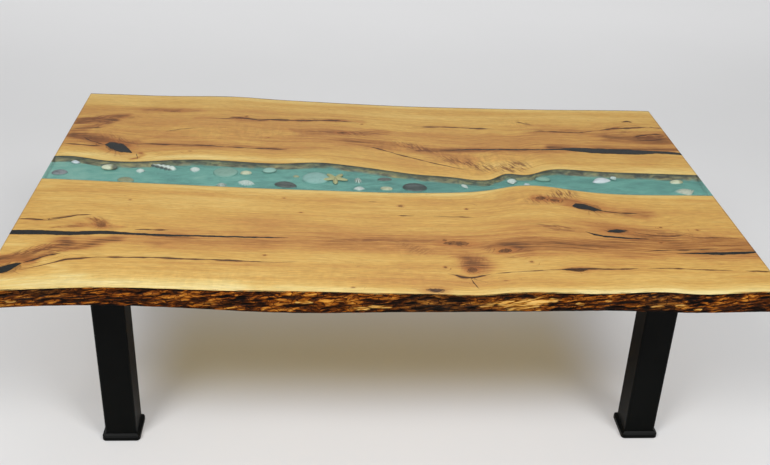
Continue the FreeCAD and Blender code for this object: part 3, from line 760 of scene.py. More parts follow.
@dataclass(frozen=True)
class RiverBank(Finish):
    """Live bank of the plank under resin: near black at its rim, blotched olive, then veiled.

    It reads the attribute below, the depth under the top in millimetres.
    """

    name: str = "oak_live_bank_sealed"

    def surface(self, tree: Tree) -> Inputs:
        """Blotches; pigment from the pour below hangs in the clear resin, more of it lower down."""
        place = add_node(tree, "TexCoord", out=Out.OBJECT)
        below = add_node(tree, "Attribute", out=Out.NUMBER, attribute_name="below")
        blotch = pattern(tree, place, (26, 16, 7), 4.0, 6.0, 0.8)
        stops = (
            (0.30, "#25241A"), (0.43, "#4F4A33"), (0.53, "#6E6648"),
            (0.65, "#8D7F54"), (0.80, "#A6965D"),
        )
        colour = add_node(tree, "ValToRGB", {"Fac": blotch}, stops=stops)
        colour = blend(tree, ranged(tree, below, 4.5, 0.5, 0.0, 0.8), colour, "#1B1912")
        depth = weighted(tree, below, (pattern(tree, place, (34, 24, 24), 4.0, 1.4), 15.0))
        colour = blend(tree, ranged(tree, depth, 6.0, 13.5, 0.0, 0.9), colour, "#5E8C84")
        return {"Base Color": colour, "Roughness": 0.6}


@dataclass(frozen=True)
class TealResin(Finish):
    """Casting resin with pearl pigment, poured slowly: cloudy teal with pale drifts.

    It reads the attribute pearl, 0 where the pour is deep in colour.
    """

    name: str = "casting_resin_teal_pearl"

    def surface(self, tree: Tree) -> Inputs:
        """Clouds 80 mm long and wisps 26 mm long."""
        place = add_node(tree, "TexCoord", out=Out.OBJECT)
        pearl = add_node(tree, "Attribute", out=Out.NUMBER, attribute_name="pearl")
        clouds = pattern(tree, place, (80, 34, 34), 4.0, 1.0, 1.1)
        wisps = pattern(tree, place, (26, 9, 9), 4.0, 4.0, 1.6)
        tone = weighted(tree, pearl, (clouds, 1.05), (wisps, 0.75))
        stops = ((0.10, "#487A73"), (0.36, "#5C8F87"), (0.60, "#6FA398"), (0.90, "#8DB2A6"))
        colour = add_node(tree, "ValToRGB", {"Fac": tone}, stops=stops)
        return {"Base Color": colour, "Roughness": 0.45, "Sheen Weight": 0.1}


@dataclass(frozen=True)
class ClearResin(Finish):
    """Casting resin without pigment, polished: see-through, and glossy where light glances off.

    Args:
        glossy: False for the faces inside the table, which nothing shines on.
        mirrors_inside: True for the ends, which mirror the river to a low eye above it.
        mirror: colour of what it mirrors; grey on the top, so that a pale room doesn't wash out
            the colours under it.
    """

    name: str = "casting_resin_clear_polished"
    glossy: bool = True
    mirrors_inside: bool = False
    mirror: str = "#BDBDBD"

    def shader(self, tree: Tree) -> Socket:
        """Clear, with a mirror that the angle brings out.

        The top doesn't bend light, so it mustn't mirror it back from inside either.
        """
        clear = add_node(tree, "BsdfTransparent", {"Color": "#F4FBFA"})
        if not self.glossy:
            return clear
        mirror = add_node(tree, "BsdfGlossy", {"Color": self.mirror, "Roughness": 0.12})
        edge = add_node(tree, "Fresnel", {"IOR": 1.5})
        if not self.mirrors_inside:
            inside = add_node(tree, "NewGeometry", out=Out.BACKFACING)
            outside = add_node(tree, "Math", {0: 1.0, 1: inside}, operation="SUBTRACT")
            edge = product(tree, edge, outside)
        return add_node(tree, "MixShader", {0: edge, 1: clear, 2: mirror})


@dataclass(frozen=True)
class DarkResin(Finish):
    """Tinted resin, cast into knots and shakes and polished flush: near black, softly glossy.

    It reads the attribute rim, 1 at the wood and 0 in the middle.

    Args:
        shades: three colours of its clouds, from dark to light.
        torn: colour of the torn wood that shows through at its rim.
    """

    name: str = "casting_resin_charcoal_polished"
    shades: tuple[str, str, str] = ("#0D0F0F", "#181B1B", "#282A27")
    torn: str = "#2F1D0F"

    def surface(self, tree: Tree) -> Inputs:
        """Clouds 22 mm long, and torn wood at the rim."""
        place = add_node(tree, "TexCoord", out=Out.OBJECT)
        rim = add_node(tree, "Attribute", out=Out.NUMBER, attribute_name="rim")
        clouds = pattern(tree, place, (22, 4, 8), 3.0, 3.0, 0.5)
        stops = tuple(zip((0.3, 0.55, 0.8), self.shades))
        colour = add_node(tree, "ValToRGB", {"Fac": clouds}, stops=stops)
        torn = weighted(tree, rim, (pattern(tree, place, (7, 2, 2), 3.0, 6.6), 0.9))
        torn = ranged(tree, torn, 0.66, 1.05, 0.0, 0.85)
        return {
            "Base Color": blend(tree, torn, colour, self.torn),
            "Roughness": 0.2,
            "IOR": 1.5,
            "Specular IOR Level": 0.24,
        }


@dataclass(frozen=True)
class Mineral(Finish):
    """Water-worn stone, shell, sea glass or quartz, half sunk in the teal pour.

    It reads the attributes shade and sunk.

    Args:
        shades: colours that the attribute shade picks from, 0 to 1.
        veins: colour of the blotches.
        cell: size of the blotches in millimetres.
        amount: how strongly the blotches show.
    """

    shades: tuple[str, ...]
    veins: str
    cell: float
    amount: float

    def surface(self, tree: Tree) -> Inputs:
        """Blotches, under a veil of resin that thins over the piece from its girth up."""
        place = add_node(tree, "TexCoord", out=Out.OBJECT)
        shade, sunk = (
            add_node(tree, "Attribute", out=Out.NUMBER, attribute_name=name)
            for name in ("shade", "sunk")
        )
        steps = len(self.shades) - 1
        stops = tuple((step / steps, tone) for step, tone in enumerate(self.shades))
        colour = add_node(tree, "ValToRGB", {"Fac": shade}, stops=stops)
        blotch = pattern(tree, place, (self.cell, self.cell, self.cell), 4.0, 2.5, 0.7)
        blotch = ranged(tree, blotch, 0.45, 0.70, 0.0, self.amount)
        colour = blend(tree, blotch, colour, self.veins)
        colour = blend(tree, ranged(tree, sunk, 0.0, 1.0, 0.04, 0.85), colour, "#6A9E95")
        return {"Base Color": colour, "Roughness": 0.4}


@dataclass(frozen=True)
class PowderCoat(Finish):
    """Steel, powder coated black: even satin with a fine orange peel."""

    name: str = "steel_powder_coated_black"

    def surface(self, tree: Tree) -> Inputs:
        """Smudges 70 mm wide; the peel's bumps are 1.5 mm apart."""
        place = add_node(tree, "TexCoord", out=Out.OBJECT)
        peel = pattern(tree, place, (1.5, 1.5, 1.5), 1.0)
        smudge = pattern(tree, place, (70, 70, 120), 3.0, 2.0)
        stops = ((0.3, "#020302"), (0.7, "#070807"))
        relief = {"Height": peel, "Strength": 0.25, "Distance": 0.2 * MM}
        return {
            "Base Color": add_node(tree, "ValToRGB", {"Fac": smudge}, stops=stops),
            "Roughness": 0.42,
            "Specular IOR Level": 0.07,
            "Normal": add_node(tree, "Bump", relief),
        }


@dataclass(frozen=True)
class ZincPlate(Finish):
    """Steel hardware, bright zinc plated: bluish grey metal with a faint bloom."""

    name: str = "steel_zinc_plated"

    def surface(self, tree: Tree) -> Inputs:
        """Bloom in patches 5 mm wide, in colour and roughness."""
        bloom = pattern(tree, add_node(tree, "TexCoord", out=Out.OBJECT), (5, 5, 5), 3.0)
        stops = ((0.3, "#9DA2A6"), (0.7, "#C3C6C4"))
        return {
            "Base Color": add_node(tree, "ValToRGB", {"Fac": bloom}, stops=stops),
            "Metallic": 1.0,
            "Roughness": ranged(tree, bloom, 0.3, 0.7, 0.28, 0.42),
        }


@dataclass(frozen=True)
class Felt(Finish):
    """Pressed wool felt: matt charcoal with matted fibres."""

    name: str = "felt_pressed_charcoal"

    def surface(self, tree: Tree) -> Inputs:
        """Fibres that are finer than a hair on the real felt, and drawn 1 mm wide."""
        place = add_node(tree, "TexCoord", out=Out.OBJECT)
        fibres = pattern(tree, place, (3, 1, 1), 3.0, 0.0, 2.0)
        stops = ((0.3, "#1A1A1B"), (0.7, "#333335"))
        relief = {"Height": fibres, "Strength": 0.6, "Distance": 0.4 * MM}
        return {
            "Base Color": add_node(tree, "ValToRGB", {"Fac": fibres}, stops=stops),
            "Roughness": 0.95,
            "Sheen Weight": 0.4,
            "Normal": add_node(tree, "Bump", relief),
        }


@dataclass(frozen=True)
class SeamlessPaper(Finish):
    """Pale seamless paper, which glows towards the camera and is clear from behind.

    Args:
        near_glow: share of glow under the table.
        far_glow: share of glow behind it.
    """

    name: str = "paper_seamless_pale"
    near_glow: float = 0.20
    far_glow: float = 0.60

    def shader(self, tree: Tree) -> Socket:
        """Matt paper with clouds 900 mm wide, mixed with its glow."""
        place = add_node(tree, "TexCoord", out=Out.OBJECT)
        cloud = pattern(tree, place, (900, 900, 900), 2.0)
        stops = ((0.3, "#D9D9D9"), (0.7, "#DDDDDD"))
        colour = add_node(tree, "ValToRGB", {"Fac": cloud}, stops=stops)
        paper = add_node(tree, "BsdfDiffuse", {"Color": colour})
        share, tint = self.glow(tree, place)
        glow = add_node(tree, "Emission", {"Color": tint, "Strength": 1.0})
        seen = product(tree, add_node(tree, "LightPath"), share)
        paper = add_node(tree, "MixShader", {0: seen, 1: paper, 2: glow})
        back = add_node(tree, "NewGeometry", out=Out.BACKFACING)
        clear = add_node(tree, "BsdfTransparent")
        return add_node(tree, "MixShader", {0: back, 1: paper, 2: clear})

    def glow(self, tree: Tree, place: Socket) -> tuple[Socket, Socket]:
        """How the paper glows: more far behind the table, and cream in the table's shadow, a painted
        warm bounce light from the wood.

        Args:
            tree: the material's tree.
            place: coordinates in metres.

        Returns:
            Its share, from 0 to 1, and its colour.
        """
        x, y = (add_node(tree, "SeparateXYZ", {0: place}, out=axis) for axis in (0, 1))
        share = ranged(tree, y, 1.2, 3.1, self.near_glow, self.far_glow)
        aside = add_node(tree, "Math", {0: x}, operation="ABSOLUTE")
        # under: the floor in the table's shadow, where the glow turns cream as a painted warm bounce
        # light.
        under = product(
            tree,
            ranged(tree, aside, 0.40, 0.60, 1.0, 0.0),
            ranged(tree, y, -0.26, -0.06),
            ranged(tree, y, -0.05, 0.42, 1.0, 0.0),
        )
        return share, blend(tree, under, "#F0F0F1", "#DCC892")


# ---------------------------------------------------------------- wood


class Which(Enum):
    """The two planks, each with the sign of its side of the river."""

    FRONT = -1
    REAR = 1


@dataclass(frozen=True)
class Patch:
    """A knot, or a patch of feathered or curly grain; its sizes are in millimetres.

    Args:
        x: its middle, along the table.
        y: its middle, across the table.
        along: half its length.
        across: half its width.
        turn: degrees by which its length is turned from X.
        strength: how dark the knot is, or how strongly the grain shows.
        lean: degrees by which feathered strokes are turned further than their patch.
    """

    x: float
    y: float
    along: float
    across: float
    turn: float = 0.0
    strength: float = 1.0
    lean: float = 0.0

    def offset(self, flat: Array) -> Array:
        """Offset from the middle, turned to the patch's axes and measured in its half sizes."""
        along, across = turned(flat - (self.x, self.y), self.turn)
        return join(along / self.along, across / self.across)


@dataclass(frozen=True)
class Crack:
    """A crack through points (x, y) in millimetres, and half its width at its widest."""

    points: tuple[tuple[float, float], ...]
    half_width: float


@dataclass(frozen=True)
class Stain:
    """Darker or paler wood about a line: its ends and spread in millimetres, and its strength."""

    start: tuple[float, float]
    end: tuple[float, float]
    spread: float
    strength: float


def table(kind: type, *rows: tuple) -> tuple:
    """One object of a kind for each row of values."""
    return tuple(kind(*row) for row in rows)


FRONT_KNOTS = table(
    Patch,
    (222, -318, 13, 8, 17, 1.0), (135, -291, 24, 8, 0, 0.95), (111, -278, 3, 3, 0, 0.8),
    (151, -391, 10, 9, 35, 0.9), (332, -93, 12, 9, 20, 1.0), (361, -102, 10, 7, -10, 1.0),
    (425, -133, 32, 17, -28, 0.6), (460, -236, 24, 10, 0, 0.5), (346, -388, 16, 8, 0, 0.6),
    (-678, -392, 24, 17, 35, 0.6), (77, -462, 17, 7, 0, 0.8), (-549, -225, 13, 9, -50, 0.7),
    (-568, -204, 8, 3, -10, 0.5), (-600, -233, 10, 3, 4, 0.5), (-636, -240, 5, 2, 20, 0.5),
    (36, -135, 5, 4, 0, 0.75), (170, -146, 3, 3, 0, 0.9), (102, -381, 3, 3, 0, 0.9),
    (-166, -168, 3, 2, 0, 0.8), (-202, -104, 3, 2, 0, 0.7), (-229, -341, 3, 2.4, 0, 0.8),
    (-511, -118, 2.6, 2.6, 0, 0.6), (-68, -453, 3, 2, 0, 0.7), (207, -428, 4, 1.6, 0, 0.6),
    (266, -359, 3, 3, 0, 0.8), (552, -219, 2.6, 2.6, 0, 0.8), (624, -229, 3, 2.6, 0, 0.8),
    (534, -283, 4, 2, 0, 0.8), (627, -286, 5, 1.6, 0, 0.6), (413, -304, 7, 1.6, 0, 0.5),
)
FRONT_CRACKS = (
    Crack(((-712, -204), (-684, -205), (-664, -208), (-632, -209)), 2.5),
    Crack(((-660, -203), (-636, -201), (-614, -194), (-601, -187), (-572, -184)), 2.2),
    Crack(
        ((-674, -402), (-647, -394), (-618, -380), (-584, -360), (-531, -352), (-430, -352),
         (-365, -357), (-325, -358), (-280, -362), (-212, -367), (-160, -364)),
        1.8,
    ),
    Crack(((-482, -246), (-459, -245), (-434, -247), (-416, -246)), 2.0),
    Crack(((26, -178), (41, -178), (62, -179)), 1.5),
    Crack(((96, -181), (135, -181), (180, -182)), 1.6),
    Crack(((-662, -376), (-645, -366), (-621, -347), (-598, -337)), 2.8),
    Crack(((102, -403), (119, -410), (128, -416), (141, -419), (156, -416), (186, -404)), 2.4),
    Crack(((183, -405), (214, -399), (250, -394), (286, -390), (326, -386)), 1.0),
    Crack(((144, -422), (149, -440), (155, -457)), 1.5),
    Crack(((284, -390), (306, -388), (329, -385), (377, -384), (429, -385), (465, -381)), 2.0),
    Crack(((474, -381), (504, -380), (541, -382), (573, -385), (642, -388)), 1.7),
    Crack(((660, -389), (687, -389), (712, -392)), 1.9),
    Crack(((486, -318), (510, -314), (550, -312), (600, -310), (642, -306)), 1.6),
    Crack(((485, -236), (503, -245), (528, -253), (565, -256), (599, -249)), 1.3),
    Crack(((590, -250), (616, -262), (660, -260), (709, -266)), 1.2),
    Crack(((480, -264), (497, -267), (516, -268)), 3.0),
    Crack(((450, -149), (480, -157), (522, -160)), 2.8),
    Crack(((-30, -117), (-12, -117)), 1.2),
)
FRONT_STAINS_AND_RIM_HIGHLIGHT = table(
    Stain,
    ((-590, -300), (-380, -268), 22, 0.13), ((-420, -282), (-95, -280), 36, 0.20),
    ((-35, -284), (215, -292), 34, 0.21), ((275, -290), (720, -300), 44, 0.33),
    ((144, -368), (170, -366), 24, 0.38), ((-200, -273), (80, -284), 9, 0.05),
    ((150, -350), (150, -392), 22, 0.24), ((235, -300), (262, -322), 16, 0.20),
    ((400, -205), (560, -260), 22, 0.16), ((400, -120), (540, -165), 18, 0.18),
    ((310, -88), (400, -108), 15, 0.20), ((-600, -225), (-525, -240), 12, 0.16),
    ((-699, -367), (-604, -298), 14, 0.46), ((-661, -369), (-520, -284), 12, 0.34),
    ((-700, -440), (-260, -456), 20, -0.18), ((-220, -458), (720, -458), 9, -0.08),
    # The first row here pales a line along the eased front rim: pale sapwood, with a painted highlight
    # of the rim laid in.
    ((330, -470), (590, -464), 8, -0.26), ((-640, -130), (-330, -140), 46, -0.08),
    ((-700, -60), (250, -95), 20, -0.10), ((-690, -310), (-560, -420), 14, -0.10),
)
FRONT_CURLS = table(
    Patch,
    (42, -318, 44, 26, 0, 0.25), (350, -84, 60, 26, 0, 0.5), (-541, -224, 34, 24, 0, 0.5),
    (-340, -420, 260, 40, 0, 0.22), (560, -250, 120, 22, 0, 0.4), (-100, -420, 300, 40, 0, 0.18),
)
FRONT_LASHES = table(
    Patch,
    (346, -98, 22, 42, -75, 1.0), (386, -74, 28, 28, -80, 1.0), (48, -309, 44, 18, -32, 0.45, 82),
    (200, -316, 12, 12, 60, 0.8), (252, -312, 20, 12, 25, 0.8), (240, -341, 18, 4, 14, 0.7),
    (156, -366, 36, 28, 75, 0.35), (345, -223, 46, 15, -17, 0.75), (560, -248, 84, 16, -8, 0.6),
    (-652, -330, 62, 15, 36, 1.0, 12), (-612, -334, 70, 11, 34, 0.75, -6),
    (-556, -214, 34, 14, -45, 1.0), (-605, -234, 30, 5, 5, 0.8), (500, -163, 50, 10, -8, 0.6),
    (-10, -282, 130, 9, -1, 0.5), (490, -276, 16, 6, -20, 0.7),
)
REAR_KNOTS = table(
    Patch,
    (-586, 143, 34, 19, -42, 0.7), (-78, 246, 12, 6, 0, 0.9), (-323, 328, 11, 6, 0, 0.95),
    (-178, 318, 14, 5, 0, 0.95), (-97, 321, 17, 6, 0, 0.9), (592, 296, 10, 5, 20, 0.85),
    (232, 158, 16, 5, 0, 0.7), (-585, 322, 12, 6, 0, 0.4), (-490, 367, 20, 5, -3, 0.6),
    (-30, 300, 3, 2.5, 0, 0.7), (-250, 210, 3, 2.0, 0, 0.7), (-308, 341, 3, 3, 0, 0.7),
    (-420, 128, 4, 2.5, 0, 0.5),
)
REAR_CRACKS = (
    Crack(
        ((-400, 325), (-358, 324), (-328, 331), (-275, 317), (-249, 322), (-179, 317), (-128, 321),
         (-99, 322), (-34, 308)),
        2.8,
    ),
    Crack(((90, 287), (160, 290), (181, 289), (256, 283), (296, 281)), 2.4),
    Crack(((350, 272), (401, 273), (447, 269), (493, 266), (528, 277), (561, 284)), 2.0),
    Crack(((545, 281), (587, 295), (615, 298), (650, 303), (684, 311)), 2.8),
    Crack(((676, 307), (712, 300)), 2.0),
    Crack(((-62, 180), (-9, 162), (50, 122), (121, 79), (202, 39)), 1.7),
    Crack(((-555, 153), (-544, 160), (-522, 166), (-481, 162), (-401, 161), (-330, 153)), 2.4),
    Crack(((-345, 155), (-285, 148), (-240, 146), (-202, 142)), 2.4),
    Crack(((-712, 163), (-662, 155), (-614, 148)), 1.8),
    Crack(((-712, 249), (-665, 253), (-636, 258)), 1.5),
    Crack(((-670, 199), (-650, 179), (-630, 166), (-612, 155)), 1.6),
    Crack(((-494, 237), (-453, 255), (-420, 264)), 0.9),
    Crack(((622, 244), (647, 254), (675, 262), (700, 262)), 2.6),
    Crack(((646, 226), (671, 227), (704, 240)), 2.0),
    Crack(((618, 336), (634, 345), (646, 335)), 1.6),
    Crack(((350, 331), (366, 322), (386, 311)), 1.6),
    Crack(((-536, 110), (-532, 95), (-529, 78)), 1.4),
)
REAR_STAINS = table(
    Stain,
    ((-709, 300), (-610, 328), 13, 0.36), ((-709, 288), (-618, 303), 12, 0.34),
    ((-670, 250), (-618, 303), 14, 0.22), ((-690, 215), (-570, 162), 22, 0.40),
    ((-562, 370), (-430, 380), 14, 0.14), ((-420, 322), (-20, 316), 10, 0.17),
    ((-180, 245), (30, 250), 14, 0.18), ((-60, 200), (200, 110), 24, 0.19),
    ((100, 150), (460, 158), 12, 0.27), ((400, 176), (720, 170), 12, 0.39),
    ((400, 270), (710, 250), 22, 0.17), ((560, 238), (710, 218), 18, 0.30),
    ((560, 320), (710, 330), 16, 0.11), ((-550, 160), (-200, 150), 8, 0.12),
    ((-700, 215), (700, 215), 70, 0.11), ((-535, 108), (-530, 81), 7, 0.39),
    ((-700, 105), (-150, 85), 14, -0.16), ((250, 70), (700, 62), 24, -0.14),
)
REAR_CURLS = table(
    Patch,
    (226, 92, 110, 60, 0, 0.6), (60, 165, 90, 40, 0, 0.4), (-640, 215, 60, 36, 0, 0.4),
    (-300, 240, 200, 60, 0, 0.3), (360, 320, 40, 20, 0, 0.5),
)
REAR_LASHES = table(
    Patch,
    (-662, 314, 58, 15, 17, 1.0, 20), (-665, 290, 52, 12, 9, 1.0),
    (-600, 188, 46, 18, -38, 1.0, -20), (-656, 192, 48, 14, -23, 0.9),
    (-545, 168, 18, 10, -60, 0.8), (-640, 278, 34, 15, 47, 0.9), (-500, 372, 70, 12, -2, 0.7, 20),
    (-78, 246, 84, 10, -6, 0.9), (-56, 242, 50, 16, -10, 0.95, -35),
    (88, 166, 64, 15, -30, 1.0, -34), (208, 74, 84, 24, -29, 0.9, -28), (300, 62, 30, 44, -62, 1.0),
    (240, 158, 110, 9, 0, 0.7), (664, 246, 52, 18, 8, 1.0, 12), (600, 268, 60, 14, 14, 0.6),
    (590, 300, 34, 10, 20, 0.8), (-323, 331, 34, 8, -8, 0.7), (-120, 326, 60, 8, 0, 0.7),
    (370, 322, 22, 8, -35, 0.7), (634, 342, 16, 6, 10, 0.7),
)

SAPWOOD_TONE = 0.24
HEARTWOOD_TONE = 0.44

# How far the sapwood reaches in from the live edge. Each row: place along the table and reach, in
# millimetres.
SAPWOOD_REACH = ((-710, 88), (-250, 48), (60, 26), (710, 40))
PIN_KNOT_SIZE = 5.0
KNOT_FLOW = (1.6, 1.4)
NO_KNOT = 9.0
NO_CRACK = 1e3


@dataclass(frozen=True)
class Figure:
    """What grew in a plank: knots, cracks, stains and curl, as fields over its top face.

    Each field takes flat, (n, 2) places in millimetres, and returns a number or a row for each.

    Args:
        knots: knots; the grain flows round those that aren't pin knots.
        cracks: hairline cracks.
        stains: darker and paler wood; on the front plank, one paler line is also a painted highlight
            along the eased rim.
        curls: curly patches.
        lashes: feathered patches.
    """

    knots: tuple[Patch, ...]
    cracks: tuple[Crack, ...]
    stains: tuple[Stain, ...]
    curls: tuple[Patch, ...]
    lashes: tuple[Patch, ...]

    def flow(self, flat: Array) -> Array:
        """How far the grain is pushed aside: the offset from each knot, over 1 + r^2."""
        push = np.zeros(len(flat))
        for knot in self.knots:
            if knot.along > PIN_KNOT_SIZE:
                widened = knot.offset(flat) / KNOT_FLOW
                push += (flat[:, 1] - knot.y) / (1 + (widened**2).sum(-1))
        return push

    def knot_field(self, flat: Array) -> Array:
        """Offset from the knot that is nearest in its own half sizes, and that knot's strength."""
        best = np.full((len(flat), 3), (NO_KNOT, NO_KNOT, 0.0))
        reach = np.full(len(flat), 2 * NO_KNOT**2)
        for knot in self.knots:
            offset = knot.offset(flat)
            radius = (offset**2).sum(-1)
            nearer = radius < reach
            best[nearer, :2] = offset[nearer]
            best[nearer, 2] = knot.strength
            reach[nearer] = radius[nearer]
        return best

    def crack_field(self, flat: Array) -> Array:
        """Signed distance to the nearest crack, and half its width there, which tapers to 0."""
        best = np.tile((NO_CRACK, 0.0, 0.0), (len(flat), 1))
        for crack in self.cracks:
            chain = np.asarray(crack.points, float)
            steps = np.linalg.norm(np.diff(chain, axis=0), axis=1)
            gone = np.concatenate([[0], np.cumsum(steps)])
            for start, end, step, before in zip(chain, chain[1:], steps, gone):
                way = (end - start) / step
                offset = flat - start
                travel = offset @ way
                held = np.clip(travel, 0, step)
                side = np.sign(offset @ (-way[1], way[0]) + 1e-9)
                distance = np.linalg.norm(offset - held[:, None] * way, axis=1)
                nearer = distance < np.abs(best[:, 0])
                share = (before + held) / gone[-1]
                taper = np.clip(np.sin(math.pi * share) * 1.6, 0, 1)
                best[nearer, 0] = (side * distance)[nearer]
                best[nearer, 1] = (crack.half_width * taper)[nearer]
        return best

    def stain_field(self, flat: Array) -> Array:
        """Sum of the stains, each falling off from its line as exp(-(d / spread)^2)."""
        total = np.zeros(len(flat))
        for stain in self.stains:
            start, end = np.asarray(stain.start, float), np.asarray(stain.end, float)
            run = end - start
            share = np.clip((flat - start) @ run / (run @ run), 0, 1)
            distance = np.linalg.norm(flat - start - share[:, None] * run, axis=1)
            total += stain.strength * np.exp(-((distance / stain.spread) ** 2))
        return total

    def lash_field(self, flat: Array) -> Array:
        """Place across and along the strokes of the strongest patch, and that patch's strength.

        A patch falls off from its middle as exp(-r^4).
        """
        best = np.zeros((len(flat), 3))
        for lash in self.lashes:
            strength = lash.strength * np.exp(-((lash.offset(flat) ** 2).sum(-1) ** 2))
            ahead, aside = turned(flat - (lash.x, lash.y), lash.turn + lash.lean)
            found = join(aside + lash.x, ahead + lash.y, strength)
            stronger = strength > best[:, 2]
            best[stronger] = found[stronger]
        return best

    def curl_field(self, flat: Array) -> Array:
        """Greatest strength of the curly patches, each falling off as exp(-r^2)."""
        total = np.zeros(len(flat))
        for curl in self.curls:
            radius = (curl.offset(flat) ** 2).sum(-1)
            total = np.maximum(total, curl.strength * np.exp(-radius))
        return total


FIGURES = {
    Which.FRONT: Figure(FRONT_KNOTS, FRONT_CRACKS, FRONT_STAINS_AND_RIM_HIGHLIGHT, FRONT_CURLS, FRONT_LASHES),
    Which.REAR: Figure(REAR_KNOTS, REAR_CRACKS, REAR_STAINS, REAR_CURLS, REAR_LASHES),
}

COAT_DEPTH = 0.2 * MM
EASED_WIDTH = 7 * MM
EASED_DROP = 0.5 * MM
BARK_DEPTH = 6 * MM
BARK_ROOT = 10 * MM
BARK_LIP = 0.10
BARK_RELIEF = 4.6 * MM
ROW_CROWDING = 1.8
BANK_REACH = 100 * MM
EDGE_REACH = 400 * MM
BANK_ROUGHNESS = 2.2 * MM
RIM_RAGGED = 0.25 * MM
STAIN_WARP = (16.0, 7.0)


# Bark along the front edge. Each row: place along the table in millimetres, how much lighter and
# how much warmer than elsewhere, and how deep the groove is between it and the wood, 0 to 1; the
# groove's depth also sets the painted shade along the bark's top.
BARK_ZONES = (
    (-710, 0.02, 0.1, 0.2), (-600, -0.04, -0.1, 0.6), (-520, -0.04, 0.0, 1.0),
    (-400, 0.00, 0.1, 1.0), (-290, 0.02, 0.3, 1.0), (-240, 0.08, 0.5, 0.3), (-120, 0.06, 0.6, 0.0),
    (-30, 0.00, 0.4, 0.2), (40, -0.03, -0.2, 0.0), (100, -0.01, -0.5, 0.1), (160, 0.01, -0.1, 0.1),
    (300, -0.03, 0.3, 0.3), (400, -0.05, 0.1, 0.9), (560, -0.05, 0.1, 1.0), (620, -0.03, 0.2, 0.5),
    (660, -0.02, 0.5, 0.2), (710, -0.02, 0.5, 0.2),
)

# Places on the front edge without bark: middle and half its length along the table, height above
# the floor and half the patch's height, in millimetres.
BARE_PATCHES = (
    (228, 66, 428, 14), (335, 11, 428, 5), (385, 10, 434, 3), (480, 17, 421, 4),
    (520, 12, 423, 4.5), (552, 10, 416, 3.5), (-60, 18, 418, 3.5), (-20, 20, 422, 3),
    (-150, 16, 432, 3), (-660, 10, 424, 3),
)


